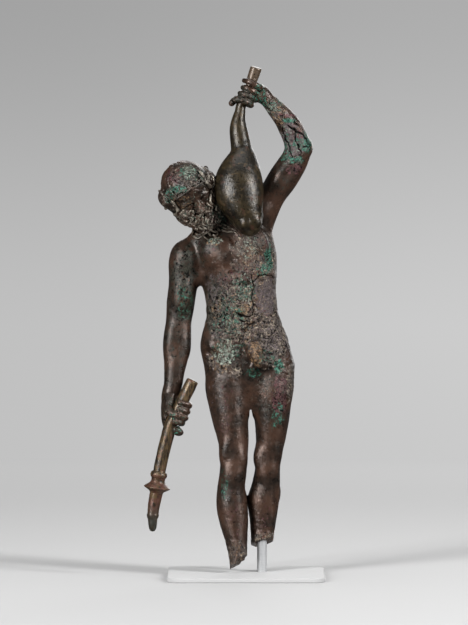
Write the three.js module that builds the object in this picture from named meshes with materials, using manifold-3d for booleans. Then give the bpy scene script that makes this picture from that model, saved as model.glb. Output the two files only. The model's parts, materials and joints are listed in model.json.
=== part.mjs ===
// Bronze satyr statuette, about 28 cm tall without its rod.
//
// A bearded, wreathed satyr stands with the head bowed to the right shoulder, lifts a full wineskin
// by its neck over the left shoulder and holds a lowered torch in the right fist. Both legs are
// broken off at the shin. A rod in the left shin carries the figure on a thin foot plate.
//
// Millimetres, +Z up. The viewer stands at -Y, so the figure's own left is +X.
// The origin is on the floor, on the axis of the rod.

import * as THREE from 'three';
import { mergeVertices } from 'three/addons/utils/BufferGeometryUtils.js';
import { edgeTable, triTable } from 'three/addons/objects/MarchingCubes.js';
import Module from 'manifold-3d';

// Driving dimensions

const GAP = 0.3;                                  // clearance between neighbouring pieces
const FACET_GAP = 0.36;                           // the same where both sides are faceted
const ROD = { radius: 2.75, low: 2.5, top: 30, sides: 24 };
const FOOT = { width: 88, depth: 68, thick: 2.5, corner: 7, bevel: 0.5, centre: [-9, -4] };
const LEFT_SHIN_BREAK = { at: [0, 0, 18.6], normal: [0.18, -0.36, -1], reach: [7.7, 10, 17] };
const RIGHT_SHIN_BREAK = { at: [-12.6, -7.6, 8.6], normal: [0.72, -0.3, -1], reach: [9, 10, 14] };

// Fineness of the modelled surfaces: cell of the sampling grid, and faces kept in the end

const FIGURE = { low: [-74, -32, 0], high: [34, 30, 290], cell: 0.72, faces: 7000 };
const SKIN = { low: [-32, -34, 186], high: [8, 8, 292], cell: 1.0, faces: 900 };

// Trunk. Rows are x, y, z of the centre line, half width and half depth.

const TRUNK = [
  [-7.3, 0.5, 104, 15, 10],
  [-7.9, 1.2, 117, 23.2, 13.5],
  [-8.9, 0.6, 126, 24.3, 13.4],
  [-10.1, -0.8, 135, 22.4, 12.2],
  [-11.1, -1.8, 144, 20.6, 11.4],
  [-11.5, -1.7, 153, 19.8, 11.8],
  [-12.3, -0.9, 162, 19.8, 13.0],
  [-13.4, -0.2, 171, 20.6, 14.0],
  [-14.8, 0.5, 180, 20.8, 13.6],
  [-17.0, 1, 188, 18.5, 11.5],
  [-19.5, 1.3, 194, 14, 9.5],
  [-21.5, 1, 200, 8.5, 8.5],
];

const SHOULDER_GIRDLE = {
  right: [[-23, 2, 198, 7], [-32, 2, 189.5, 7.2], [-41, 1.5, 181, 7.6]],
  left: [[-20, 2, 199, 7], [-9, 3, 200, 8.5], [-1.4, 3, 201.5, 7.4]],
};

const FLANKS = {
  stretchedLeft: [
    [-1.2, 3.5, 158, 6.2, 9],
    [-0.5, 3.5, 178, 8, 9.5],
    [-2.0, 2.5, 196, 6.6, 9],
    [-0.4, 1.5, 206, 6.4, 8],
  ],
  rightArmpit: [[-25, 4, 158, 5, 8], [-29.5, 4, 171, 5.5, 8], [-37, 3, 182, 5.8, 7]],
  rightArmpitFold: [[-34.5, 2, 172, 3.5, 6], [-35.8, 1.5, 167, 3.0, 5.5]],
};

// A lump is an ellipsoid: place, half sizes, turn about x, y and z in degrees, softness of its edge
const NO_TURN = [0, 0, 0];

const TRUNK_LUMPS = {
  rightPectoral: [[-25.5, -8.8, 182.0], [12, 5.6, 8.8], [0, 22, 8], 4],
  leftPectoral: [[-7.5, -9.0, 186], [11.0, 5.6, 10], [0, -25, -6], 4],
  rightRibs: [[-19.5, -7.6, 165], [8.5, 6, 7], [0, 0, 0], 5],
  leftRibs: [[-6, -7.6, 166], [8.5, 6, 7], [0, 0, 0], 5],
  rightFlankRoll: [[-26.8, 0, 131], [6.0, 10.5, 8.5], [0, 10, 0], 6],
  leftFlankRoll: [[8.2, 0, 125], [6.4, 10.5, 9], [0, -12, 0], 4],
  rightButtock: [[-18.2, 8.9, 114], [11.5, 9.2, 12.5], [0, 0, 0], 5],
  leftButtock: [[4.6, 9.4, 111], [11.5, 9.2, 12.5], [0, 0, 0], 5],
  rightShoulderBlade: [[-27, 11.2, 182], [7.5, 4.4, 9], [0, -18, 10], 4],
  leftShoulderBlade: [[-6.5, 11.2, 188], [7.5, 4.4, 9], [0, 28, -8], 4],
  pubicMound: [[-4.6, -13.6, 126], [4.6, 3.6, 5.0], [0, -20, 0], 3],
};

const BELLY = [
  [-15, -8.6, 165, 6, 4.2],
  [-12.8, -9.8, 153, 6.4, 4.6],
  [-11, -9.9, 141, 7.0, 4.8],
  [-9.5, -8.6, 131, 7.5, 4.6],
];

const TRUNK_GROOVES = {
  breastbone: [[-17, -11.5, 190, 1.2], [-15.5, -14.4, 180, 1.1], [-14.5, -13.8, 172, 0.8]],
  bellyMiddle: [[-16, -15.7, 170, 0.6], [-13.2, -15.5, 156, 0.6], [-11.4, -15.5, 147, 0.6]],
  rightGroin: [[-30.5, -8.6, 126, 1.0], [-22, -13.4, 119.5, 1.1], [-13, -15.4, 114.5, 1.1]],
  leftGroin: [[13.5, -8.6, 123, 1.0], [6.5, -13.2, 118, 1.1], [0, -15, 113.5, 1.1]],
  buttockCleft: [[-7.0, 20.4, 122, 1.2], [-6.9, 20.2, 110, 2.0], [-6.8, 17.4, 100, 2.0]],
  spine: [
    [-18, 15.6, 190, 1.0],
    [-14.8, 15.8, 175, 1.3],
    [-11.8, 12.4, 153, 1.5],
    [-9.2, 12.2, 137, 1.4],
    [-8, 15, 126, 1.0],
  ],
};

const BELLY_CREASES = {
  middles: [[-14.6, 163.5], [-13.0, 154.5]],
  halfWidth: 7,
  depthAt: -15.1,
  rise: 1,
  radius: 0.4,
};
const NAVEL = [[-10.6, -15.4, 142.5], [1.3, 1.6, 1.7], [0, 0, 0], 1.4];
const SEX = {
  shaft: [[-6.4, -14.0, 131, 2.6], [-4.8, -16.2, 127, 2.6], [-3.2, -17.2, 122.2, 2.3]],
  right: [[-5.8, -14.9, 119.6], [3.4, 3.4, 4.2], [0, 10, 0], 1.5],
  left: [[0.4, -14.4, 120.6], [3.1, 3.2, 3.9], [0, -12, 0], 1.5],
};

function modelTrunk(clay) {
  clay.limb(TRUNK, 2);
  clay.limb(SHOULDER_GIRDLE.right, 8);
  clay.limb(SHOULDER_GIRDLE.left, 8);
  clay.limb(FLANKS.stretchedLeft, 5);
  clay.limb(FLANKS.rightArmpit, 5);
  clay.limb(FLANKS.rightArmpitFold, 3);
  clay.limb(BELLY, 5);
  for (const lump of Object.values(TRUNK_LUMPS)) clay.lump(...lump);
  for (const groove of Object.values(TRUNK_GROOVES)) clay.hollowLimb(groove, 4.5);
  for (const [x, z] of BELLY_CREASES.middles) {
    const { halfWidth, depthAt, rise, radius } = BELLY_CREASES;
    clay.hollowLimb([
      [x - halfWidth, depthAt + rise, z + rise, radius],
      [x, depthAt, z, radius],
      [x + halfWidth, depthAt + rise, z + rise, radius],
    ], 2.8);
  }
  clay.hollowLump(...NAVEL);
  clay.limb(SEX.shaft, 1.6);
  clay.lump(...SEX.right);
  clay.lump(...SEX.left);
}

// Legs, down to below the breaks. Rows as for the trunk.

const RIGHT_LEG = [
  [-19.0, 0.8, 120, 11.5, 13.0],
  [-19.2, 0.0, 108, 12.6, 13.8],
  [-18.7, -1.0, 99, 11.7, 13],
  [-17.6, -2, 88, 10.1, 11.9],
  [-16.1, -3.2, 77, 8.6, 10.3],
  [-15.7, -4.2, 67, 7.7, 8.9],
  [-16.2, -5.0, 59, 7.5, 8.2],
  [-17.2, -4.6, 50, 7.7, 8.0],
  [-16.9, -4.0, 41, 8.7, 8.9],
  [-15.9, -4.6, 32, 8.1, 8.3],
  [-14.7, -6, 23, 6.5, 6.8],
  [-13.6, -7.2, 14, 5.4, 5.6],
  [-12.9, -8, 2, 4.8, 5.2],
];
const LEFT_LEG = [
  [7.0, 1.6, 118, 11.3, 13.0],
  [5.8, 1.2, 106, 11.9, 13.8],
  [5.4, 0.8, 97, 10.9, 12.9],
  [5.4, 0.4, 87, 9.6, 11.6],
  [4.8, 0, 77, 8.2, 10],
  [3.6, 0, 68, 7.4, 8.8],
  [3.1, 0.2, 60, 7.0, 8.2],
  [2.3, 1.2, 52, 7.8, 8.2],
  [0.8, 2.2, 42, 8.7, 8.9],
  [0.6, 1.8, 32, 7.5, 7.9],
  [0.2, 0.9, 22.5, 6.5, 6.7],
  [0.0, 0.2, 10, 6.1, 6.3],
];
const KNEES = [
  { at: [-16.2, -10.8, 60], side: -1 },
  { at: [2.8, -6.0, 60.5], side: 1 },
];

// Side is 1 for the left leg, at +X
function modelKneeAndCalf(clay, [x, y, z], side) {
  clay.lump([x, y, z], [4.4, 2.6, 5.0], [0, 0, 0], 2.5);                                     // kneecap
  clay.lump([x - side * 3.7, y + 2.6, z + 8], [3.5, 4.2, 6.5], [0, side * 12, 0], 3);        // inner thigh
  clay.lump([x + side * 4.0, y + 2.2, z + 12], [3.3, 4.4, 8.5], [0, -side * 10, 0], 3);      // outer thigh
  clay.limb([                                                                              // shin bone
    [x + 0.6, y - 0.1, z - 6, 2.2],
    [x + 1.2, y + 1.8, z - 17, 1.8],
    [x + 2.2, y + 2.6, z - 30, 1.4],
  ], 3);
  clay.lump([x - side * 2.8, y + 14.6, z - 17], [4.4, 4.0, 9.5], [4, -side * 6, 0], 3);      // calf, inner
  clay.lump([x + side * 3.4, y + 14.2, z - 15.5], [4.2, 3.8, 8.5], [4, side * 6, 0], 3);     // calf, outer
  clay.hollowLimb([                                                                        // knee's hollow
    [x - 3.2, y + 16.5, z + 3, 1.2],
    [x + 3.2, y + 16.5, z + 3, 1.2],
  ], 3);
}

function modelLegs(clay) {
  clay.limb(RIGHT_LEG, 2);
  clay.limb(LEFT_LEG, 2);
  for (const { at, side } of KNEES) modelKneeAndCalf(clay, at, side);
  clay.slice(LEFT_SHIN_BREAK);
  clay.slice(RIGHT_SHIN_BREAK);
}

// Right arm, hanging

const RIGHT_ARM = [
  [-43.3, 1, 179, 7.2, 8.2],
  [-44.1, 1.3, 171, 7.7, 8.6],
  [-44.5, 1.4, 162, 7.9, 8.2],
  [-45.6, 1.6, 153, 7.9, 7.6],
  [-46.6, 1.8, 144, 7.2, 6.9],
  [-47.4, 1, 135, 7.3, 6.8],
  [-48.0, 0, 126, 7.2, 6.4],
  [-48.9, -1.2, 117, 6.0, 5.4],
  [-49.7, -2.2, 109, 5.3, 4.5],
  [-51.2, -3, 102, 4.8, 3.9],
];
const RIGHT_ARM_LUMPS = {
  deltoid: [[-43.6, 0.6, 177.0], [7.9, 9.2, 10.8], [0, 8, 0], 3.5],
  biceps: [[-44.6, -4.4, 160], [4.6, 3.6, 11], [0, 4, 0], 3],
  triceps: [[-45.6, 7.0, 163], [5.2, 3.8, 13], [0, 4, 0], 3],
  outerForearm: [[-51.0, -1.4, 133], [3.2, 4.2, 10], [0, 6, 0], 3],
  innerForearm: [[-43.7, 0.4, 133], [3.0, 4.2, 9], [0, -4, 0], 3],
  elbow: [[-47.0, 7.4, 145.5], [3.0, 2.0, 3.4], [0, 0, 0], 2.5],
};

function modelRightArm(clay) {
  clay.limb(RIGHT_ARM, 4);
  for (const lump of Object.values(RIGHT_ARM_LUMPS)) clay.lump(...lump);
}

// Left arm, raised, with the forearm bent back over the wineskin

const LEFT_UPPER_ARM = [
  [-1.6, 2, 202, 7.2],
  [5.0, 1.5, 213, 7.6],
  [12.0, 1, 223.6, 8.3],
  [17.7, 1.4, 232.6, 7.7],
  [20.8, 1.6, 239.4, 6.9],
];
const LEFT_FOREARM = [
  [20.4, 1.0, 240.6, 6.6, 6.9],
  [17.2, 0, 248.0, 6.7, 6.7],
  [12.7, -1.2, 256.2, 6.0, 6.0],
  [7.7, -2.2, 261.9, 5.0, 4.7],
  [3.9, -2.8, 266.2, 4.3, 4.1],
  [0.6, -3.0, 269.4, 4.1, 3.9],
];
const LEFT_ARM_LUMPS = {
  deltoid: [[0.6, 1.2, 206.5], [7.0, 9.0, 11.0], [0, 28, 0], 5],
  biceps: [[8.2, -3.6, 219], [5.0, 4.0, 11.5], [0, 30, 0], 3],
  triceps: [[12.6, 6.6, 222], [5.2, 3.8, 11], [0, 30, 0], 3],
  elbow: [[23.0, 3.4, 240.8], [4.6, 4.6, 4.8], [0, 0, 0], 3],
  forearmMuscle: [[19.2, -1.8, 250], [3.6, 4.4, 9], [0, -30, 0], 3],
};
const FOREARM_CRACKS = [
  [[13.6, -7.4, 253.9, 0.35], [18.2, -7.4, 248, 0.45], [20.2, -7.0, 242.6, 0.45], [21.9, -6.6, 237.6, 0.3]],
  [[12.2, -7.2, 252.6, 0.3], [16.2, -7.0, 240.2, 0.4], [17.4, -6.6, 236.2, 0.3]],
  [[18.2, -6.6, 254.2, 0.3], [21.3, -6.4, 251.6, 0.4], [24.8, -5.6, 243.2, 0.4]],
];

function modelLeftArm(clay) {
  clay.limb(LEFT_UPPER_ARM, 4);
  clay.limb(LEFT_FOREARM, 3);
  for (const lump of Object.values(LEFT_ARM_LUMPS)) clay.lump(...lump);
  for (const crack of FOREARM_CRACKS) clay.hollowLimb(crack, 0.8);
}

// Hands. A grip gives points around the thing that is held: along it, round it and away from it.
// Round is 0 at the front, 90 at the side of +X and 180 at the back. A finger's away is the distance of
// its middle from the middle of what it holds.

class Grip {
  constructor(top, bottom) {
    this.top = new THREE.Vector3(...top);
    this.along = new THREE.Vector3(...bottom).sub(this.top).normalize();
    const towardsViewer = new THREE.Vector3(0, -1, 0);
    this.front = towardsViewer.addScaledVector(this.along, -towardsViewer.dot(this.along)).normalize();
    this.side = new THREE.Vector3().crossVectors(this.front, this.along);
    if (this.side.x < 0) this.side.negate();
  }
  at(along, round, away) {
    const angle = THREE.MathUtils.degToRad(round);
    return this.top.clone()
      .addScaledVector(this.along, along)
      .addScaledVector(this.front, away * Math.cos(angle))
      .addScaledVector(this.side, away * Math.sin(angle))
      .toArray();
  }
}

const RIGHT_GRIP = new Grip([-43.2, -8.7, 101.2], [-50.4, -8.7, 86.6]);
const RIGHT_PALM = [
  [-50.8, -2.8, 103.5, 4.5, 3.8],
  [-52.7, -3.4, 97, 3.8, 5.2],
  [-52.9, -4.4, 90, 3.5, 5.4],
  [-52.6, -5.6, 85.4, 2.8, 4.2],
];
const RIGHT_PALM_HEEL = [[-51.0, -3.0, 99, 3.6], [-50.6, -3.0, 93, 4.0], [-51.6, -4, 87, 3.4]];
const RIGHT_THUMB = [
  [-51.8, -5.8, 100, 3.2],
  [-52.4, -9.2, 95.4, 2.7],
  [-50.6, -12.6, 92.4, 2.3],
  [-46.8, -13.6, 91.8, 2.0],
];
const RIGHT_FINGERS = [
  { along: 2.6, tip: -12, away: 4.2 },
  { along: 6.2, tip: 4, away: 4.8 },
  { along: 9.8, tip: 4, away: 5.4 },
  { along: 13.2, tip: 8, away: 5.0 },
];
const RIGHT_FINGER_BEND = [[215, 2.3], [175, 2.1], [135, 2.0], [92, 1.9], [50, 1.9]];    // round, thickness
const RIGHT_LITTLE_FINGER = [
  [[-49.0, -9.4, 83.4], [2.6, 2.6, 2.4], [0, 0, 0], 1.5],
  [[-46.9, -9.8, 81.9], [3.2, 2.5, 2.4], [0, 14, 0], 1.5],
];

const LEFT_GRIP = new Grip([-4.4, -4.4, 277.6], [-12.4, -5.0, 262.2]);
const LEFT_PALM = [
  [0.8, -2.8, 269.6, 4.1, 3.9],
  [-1.8, -1.6, 271.0, 4.9, 3.7],
  [-4.8, -0.2, 270.8, 5.6, 3.2],
];
const LEFT_PALM_HEEL = [[-0.8, -3.4, 269.6, 2.9], [-4.2, -4.4, 268.8, 2.6], [-7.6, -3.0, 268.4, 2.5]];
const LEFT_FINGERS = [
  { along: 1.4, tip: -80, away: 5.0 },
  { along: 5.2, tip: -80, away: 3.9 },
  { along: 8.8, tip: -80, away: 3.9 },
  { along: 12.2, tip: -92, away: 4.5 },
];
const LEFT_FINGER_BEND = [[150, 2.0], [105, 1.95], [60, 1.9], [15, 1.8], [-30, 1.7]];
const LEFT_POINTING_TIP = [[-13.6, -7.6, 267.2, 2.0], [-15.6, -6.2, 266.5, 2.0], [-17.0, -5.6, 265.1, 1.8]];

function modelFingers(clay, grip, fingers, bend, tipThickness) {
  for (const { along, tip, away } of fingers) {
    const rows = bend.map(([round, thickness]) => [...grip.at(along + 0.5, round, away), thickness]);
    rows.push([...grip.at(along + 1.0, tip, away), tipThickness]);
    clay.limb(rows, 0.8);
  }
}

function modelHands(clay) {
  clay.limb(RIGHT_PALM, 2);
  clay.limb(RIGHT_PALM_HEEL, 2);
  modelFingers(clay, RIGHT_GRIP, RIGHT_FINGERS, RIGHT_FINGER_BEND, 1.8);
  clay.limb(RIGHT_THUMB, 1.2);
  for (const joint of RIGHT_LITTLE_FINGER) clay.lump(...joint);
  clay.limb(LEFT_PALM, 2);
  clay.limb(LEFT_PALM_HEEL, 2);
  modelFingers(clay, LEFT_GRIP, LEFT_FINGERS, LEFT_FINGER_BEND, 1.5);
  clay.limb(LEFT_POINTING_TIP, 0.8);
}

// Head, in its own frame: x to the figure's left, -y out of the face, z up through the crown

const HEAD_PLACE = [-41.6, -13.5, 217.8];
const HEAD_LEAN = -31;               // towards the right shoulder
const HEAD_BOW = 27;                 // chin to the chest
const HEAD_TURN = 6;
const HEAD = turned(HEAD_PLACE, [0, HEAD_LEAN, 0]).multiply(turned([0, 0, 0], [HEAD_BOW, 0, HEAD_TURN]));
const NECK = [[-21.5, 1.5, 197, 8.6], [-28, -1.8, 204.5, 8.0], [-36, -7, 210.5, 8.0]];
const SKULL_LUMPS = {
  dome: [[0, 1.2, 2.6], [13.3, 14.8, 12.8], [0, 0, 0], 3],
  face: [[0, -3.5, -4.5], [10.2, 9.6, 13.0], [0, 0, 0], 4],
  back: [[0, 5.5, -4.0], [11.8, 9.8, 9.5], [0, 0, 0], 4],
  forehead: [[0, -11.2, 3.6], [8.6, 3.0, 4.6], [0, 0, 0], 3],
  rightBrow: [[-4.3, -12.0, -1.2], [4.4, 2.3, 1.5], [0, -8, 0], 1.5],
  leftBrow: [[4.3, -12.0, -1.2], [4.4, 2.3, 1.5], [0, 8, 0], 1.5],
  beardMass: [[0, -8.2, -15.0], [9.2, 6.4, 7.0], [0, 0, 0], 3],
  beardPoint: [[0, -9.2, -21.5], [6.6, 4.8, 6.0], [0, 0, 0], 3],
  rightTempleHair: [[-12.4, -2.0, -2.6], [2.8, 5.5, 5.0], [0, 0, 0], 2],
  leftTempleHair: [[12.4, -2.0, -2.6], [2.6, 5.5, 5.0], [0, 0, 0], 2],
  rightHairRoll: [[-13.8, -1.5, 2.2], [4.1, 7.0, 5.0], [0, 0, 0], 3],
  leftHairRoll: [[11.6, -1.5, 0.6], [2.6, 7.0, 4.0], [0, 0, 0], 3],
};
const NOSE = [[0, -12.8, -2.2, 1.3], [0, -14.6, -5.6, 1.5], [0, -16.0, -8.4, 1.9]];

function modelFaceSide(head, side) {
  head.hollowLump([side * 4.4, -12.6, -4.2], [2.9, 1.9, 1.7], [0, 0, 0], 1.5);               // eye socket
  head.lump([side * 4.4, -11.3, -4.2], [2.3, 1.5, 1.3], [0, 0, 0], 0.6);                     // eye
  head.lump([side * 6.6, -9.4, -8.6], [3.6, 3.4, 3.2], [0, 0, 0], 2);                        // cheek
  head.lump([side * 1.8, -14.4, -8.6], [1.4, 1.5, 1.2], [0, 0, 0], 0.8);                     // nostril
  head.lump([side * 8.6, -3.6, -11.0], [3.8, 5.6, 6.6], [0, 0, 0], 3);                      // side beard
  head.lump([side * 12.4, 2.6, -5.2], [1.7, 3.0, 3.8], [0, side * 14, side * -24], 1);       // ear
  head.lump([side * 13.2, 3.6, -1.6], [1.2, 1.8, 2.6], [-24, side * 20, side * -24], 0.8);   // ear's tip
  head.hollowLump([side * 13.9, 1.6, -5.2], [1.0, 1.7, 2.2], [0, side * 14, side * -24], 0.6);
  head.limb([
    [side * 0.8, -14.4, -11.0, 1.5],
    [side * 3.4, -13.9, -12.2, 1.7],
    [side * 6.2, -12.2, -14.8, 1.5],
    [side * 7.4, -11.0, -17.6, 1.0],
  ], 0.8);                                                                                   // moustache
}

// A lock of hair is a short hooked strand that hangs down from its root
function modelLock(head, [x, y, z], [acrossX, acrossY], thickness, drop) {
  head.limb([
    [x, y, z + drop * 0.5, thickness * 0.8],
    [x + acrossX, y + acrossY, z, thickness],
    [x + acrossX * 0.5, y + acrossY * 0.5, z - drop * 0.6, thickness * 0.9],
    [x - acrossX * 0.9, y - acrossY * 0.9, z - drop * 0.85, thickness * 0.6],
  ], 0.7);
}

// Rows of the beard from the cheeks down: height, spread in degrees, depth and width of the mass there
const BEARD_ROWS = [
  { z: -9.5, spread: 80, deep: 11.4, wide: 10.6, locks: 6, thickness: 1.7, mouthGap: 0.62 },
  { z: -13.8, spread: 76, deep: 12.2, wide: 10.8, locks: 6, thickness: 1.9, mouthGap: 0.42 },
  { z: -18.2, spread: 70, deep: 12.6, wide: 9.6, locks: 6, thickness: 2.0, mouthGap: 0 },
  { z: -22.6, spread: 58, deep: 12.2, wide: 7.4, locks: 4, thickness: 2.0, mouthGap: 0 },
];
const BEARD_MIDDLE_Y = -2;
const LOCK_DROP = 4.2;

function modelBeard(head) {
  BEARD_ROWS.forEach(({ z, spread, deep, wide, locks, thickness, mouthGap }, row) => {
    for (let i = 0; i < locks; i++) {
      const across = (i + 0.5) / locks * 2 - 1;
      if (Math.abs(across) < mouthGap) continue;
      const angle = THREE.MathUtils.degToRad(across * spread);
      const hook = (i + row) % 2 ? 1 : -1;
      const root = [wide * Math.sin(angle), BEARD_MIDDLE_Y - deep * Math.cos(angle) - 0.3, z];
      modelLock(head, root, [hook * 1.1, 0], thickness, LOCK_DROP);
    }
  });
}

// Fringe of hair round the sides and the nape, below the fillet
const FRINGE_ROWS = [
  { z: -4.4, reach: 12.6, locks: 9, thickness: 2.2 },
  { z: -9.4, reach: 11.2, locks: 7, thickness: 2.3 },
];
const FRINGE_FROM = 48;              // degrees from the brow
const FRINGE_DEEPER = 1.08;

function modelFringe(head) {
  FRINGE_ROWS.forEach(({ z, reach, locks, thickness }, row) => {
    for (let i = 0; i < locks; i++) {
      const angle = THREE.MathUtils.degToRad(FRINGE_FROM + (360 - 2 * FRINGE_FROM) * (i + 0.5) / locks);
      const hook = (i + row) % 2 ? 1 : -1;
      const root = [reach * Math.sin(angle), 1.5 - reach * FRINGE_DEEPER * Math.cos(angle), z];
      modelLock(head, root, [hook * Math.cos(angle), hook * Math.sin(angle)], thickness, LOCK_DROP);
    }
  });
}

// Wreath: a fillet round the head, ivy leaves, a cluster of berries over each temple, buds at the brow

const FILLET = { wide: 13.6, deep: 14.6, middleY: 1.1, height: 1.2, rise: 5.2, dip: 1.6, thickness: 1.0 };
// Angle of each leaf on the fillet, whether it points up or down, and its size
const LEAVES = [
  [-140, 1, 0.9], [-112, -1, 1], [-90, 1, 1], [-60, -1, 1],
  [54, -1, 1], [80, -1, 0.9], [104, 1, 1], [132, -1, 0.9], [176, -1, 0.9],
];
const LEAF_OUT = 1.2;
const BERRIES = { count: 7, radius: 1.5, spacing: 1.25, turn: 2.4 };
const RIGHT_BERRIES = { angle: -77, out: 4.1, drop: 0.1 };
const LEFT_BERRIES = { angle: 70, out: 2.4, drop: 1.0 };
const BUD_ANGLES = [-14, 0, 14];

// Point on the fillet: 0 is the brow, 90 the figure's left temple
function onFillet(degrees, out = 0) {
  const angle = THREE.MathUtils.degToRad(degrees);
  const { wide, deep, middleY, height, rise, dip } = FILLET;
  return [
    (wide + out) * Math.sin(angle),
    middleY - (deep + out) * Math.cos(angle),
    height + rise * Math.cos(angle) - dip * Math.sin(angle) ** 2,
  ];
}

// Ivy leaf of three lobes, its stem end at the origin of its frame and its point up or down
const LEAF = {
  length: 3.9,
  halfWidth: 1.9,
  halfThick: 1.2,
  lobeAcross: 2.2,
  lobeAlong: 1.2,
  lobeSizes: [2.1, 1.1, 1.4],
  lobeTurn: 28,
};
const LEAF_SPREAD = [14, 35];        // how far a leaf lifts off the head and leans sideways, in degrees

function modelLeaf(leaf, up, scale) {
  const { length, halfWidth, halfThick, lobeAcross, lobeAlong, lobeSizes, lobeTurn } = LEAF;
  leaf.lump([0, 0, 0.6 * length * up], [halfWidth * scale, halfThick, length * scale], NO_TURN, 0.5);
  for (const side of [-1, 1]) {
    const place = [side * lobeAcross * scale, 0, lobeAlong * up];
    const sizes = [lobeSizes[0] * scale, lobeSizes[1], lobeSizes[2] * scale];
    leaf.lump(place, sizes, [0, side * lobeTurn * up, 0], 0.5);
  }
}

function modelWreath(head) {
  const ring = [];
  for (let angle = 0; angle <= 360; angle += 20) ring.push([...onFillet(angle), FILLET.thickness]);
  head.limb(ring, 0.5);
  for (const [angle, up, scale] of LEAVES) {
    const spread = turned([0, 0, 0], [LEAF_SPREAD[0] * up, LEAF_SPREAD[1] * up, 0]);
    const place = turned(onFillet(angle, LEAF_OUT), [0, 0, angle]).multiply(spread);
    modelLeaf(head.within(place), up, scale);
  }
  for (const { angle, out, drop } of [RIGHT_BERRIES, LEFT_BERRIES]) {
    const { count, radius, spacing, turn } = BERRIES;
    for (let i = 0; i < count; i++) {
      const away = spacing * Math.sqrt(i);
      const [x, y, z] = onFillet(angle + 6 * away * Math.cos(i * turn), out);
      head.lump([x, y, z - drop + away * Math.sin(i * turn)], [radius, radius, radius], [0, 0, 0], 0.3);
    }
  }
  for (const angle of BUD_ANGLES) head.lump(onFillet(angle, 1.0), [1.3, 1.0, 1.6], [0, 2 * angle, 0], 0.4);
}

// Wavy ends of the beard that spread over the chest, in the figure's own frame
const CHEST_LOCKS = [
  [[-36, -15.5, 199, 1.8], [-33.5, -14.8, 195.6, 1.9], [-35.4, -13.6, 192.2, 1.6], [-33.6, -12.6, 190, 1.1]],
  [[-32, -17.5, 197, 1.8], [-30, -16.4, 193.4, 1.9], [-31.4, -14.8, 190.2, 1.6], [-29.6, -13.8, 188, 1.1]],
  [[-29.6, -17, 200, 1.8], [-26.6, -15.2, 196.6, 1.9], [-24.6, -13.6, 195, 1.6], [-22, -12.6, 195.6, 1.1]],
  [[-31, -15, 204.5, 1.8], [-27.4, -13.8, 201.6, 1.9], [-24.6, -12.2, 200.6, 1.6], [-21.6, -11.2, 201, 1.1]],
  [[-40, -12, 201.5, 1.8], [-39, -10.6, 197.6, 1.8], [-40.4, -9.0, 194.6, 1.5], [-39, -7.6, 192.4, 1.0]],
];

function modelHead(clay) {
  clay.limb(NECK, 5);
  const head = clay.within(HEAD);
  for (const lump of Object.values(SKULL_LUMPS)) head.lump(...lump);
  for (const side of [-1, 1]) modelFaceSide(head, side);
  head.limb(NOSE, 1.5);
  head.hollowLump([0, -14.2, -13.0], [2.1, 1.5, 0.9], [0, 0, 0], 0.6);     // mouth
  head.lump([0, -13.6, -14.6], [1.9, 1.3, 0.9], [0, 0, 0], 0.6);           // lower lip
  modelBeard(head);
  modelFringe(head);
  modelWreath(head);
  for (const lock of CHEST_LOCKS) clay.limb(lock, 0.8);
}

// Wineskin: neck stub above the fist, neck, full belly and two knotted leg stumps below

const WINESKIN = [
  [-3.4, -3.9, 284.6, 3.3, 3.3],
  [-5.2, -4.0, 279.4, 3.1, 3.1],
  [-6.5, -4.2, 274.4, 2.9, 2.9],
  [-9.2, -4.6, 268.8, 2.8, 2.8],
  [-11.7, -5.0, 263.8, 2.8, 2.8],
  [-12.3, -5.3, 260, 3.1, 3.1],
  [-13.1, -5.8, 255.6, 3.9, 3.8],
  [-13.2, -6.5, 251, 4.9, 4.5],
  [-12.6, -7.4, 246.6, 5.4, 5.0],
  [-11.9, -8.4, 242.2, 5.7, 5.3],
  [-11.3, -9.6, 237.8, 6.3, 5.8],
  [-11.2, -11.0, 233.3, 8.2, 7.1],
  [-12.0, -12.6, 228.8, 10.4, 8.7],
  [-12.7, -14.2, 224.4, 12.3, 10.0],
  [-13.1, -15.6, 220, 13.5, 10.8],
  [-12.7, -16.8, 215.6, 13.5, 10.9],
  [-11.6, -17.7, 211, 12.2, 10.2],
  [-10.2, -18.4, 206.6, 10.5, 9.2],
  [-8.5, -18.8, 202, 8.9, 8.0],
  [-7.3, -19.0, 198.2, 7.0, 6.6],
  [-6.6, -19.1, 195.8, 4.6, 4.6],
];
const SKIN_STUMPS = {
  right: [[-9.4, -24.6, 198.4], [2.8, 2.6, 3.4], [0, 12, 0], 2],
  left: [[-3.2, -23.6, 199.2], [2.2, 2.1, 3.2], [0, -14, 0], 2],
};
const SKIN_MOUTH = { at: [-3.4, -3.9, 285.2], normal: [0.26, -0.12, 1], reach: [8, 8, 8] };

function modelWineskin() {
  const clay = new Clay(SKIN.low, SKIN.high, SKIN.cell);
  clay.limb(WINESKIN, 0.5);
  for (const stump of Object.values(SKIN_STUMPS)) clay.lump(...stump);
  clay.slice(SKIN_MOUTH);
  return clay.surface(SKIN.faces);
}

// Torch: shaft with a slight bow, bead, flange, tapering head and flame tip

const TORCH_PATH = [
  [-38.6, -8.6, 110.7],
  [-42.0, -8.6, 103.9],
  [-45.4, -8.7, 96.9],
  [-49.0, -8.7, 89.7],
  [-51.9, -8.6, 82.9],
  [-56.6, -8.2, 63.8],
  [-59.2, -8.0, 47.4],
  [-61.0, -8, 36.3],
  [-61.2, -8, 25.4],
];
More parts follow.
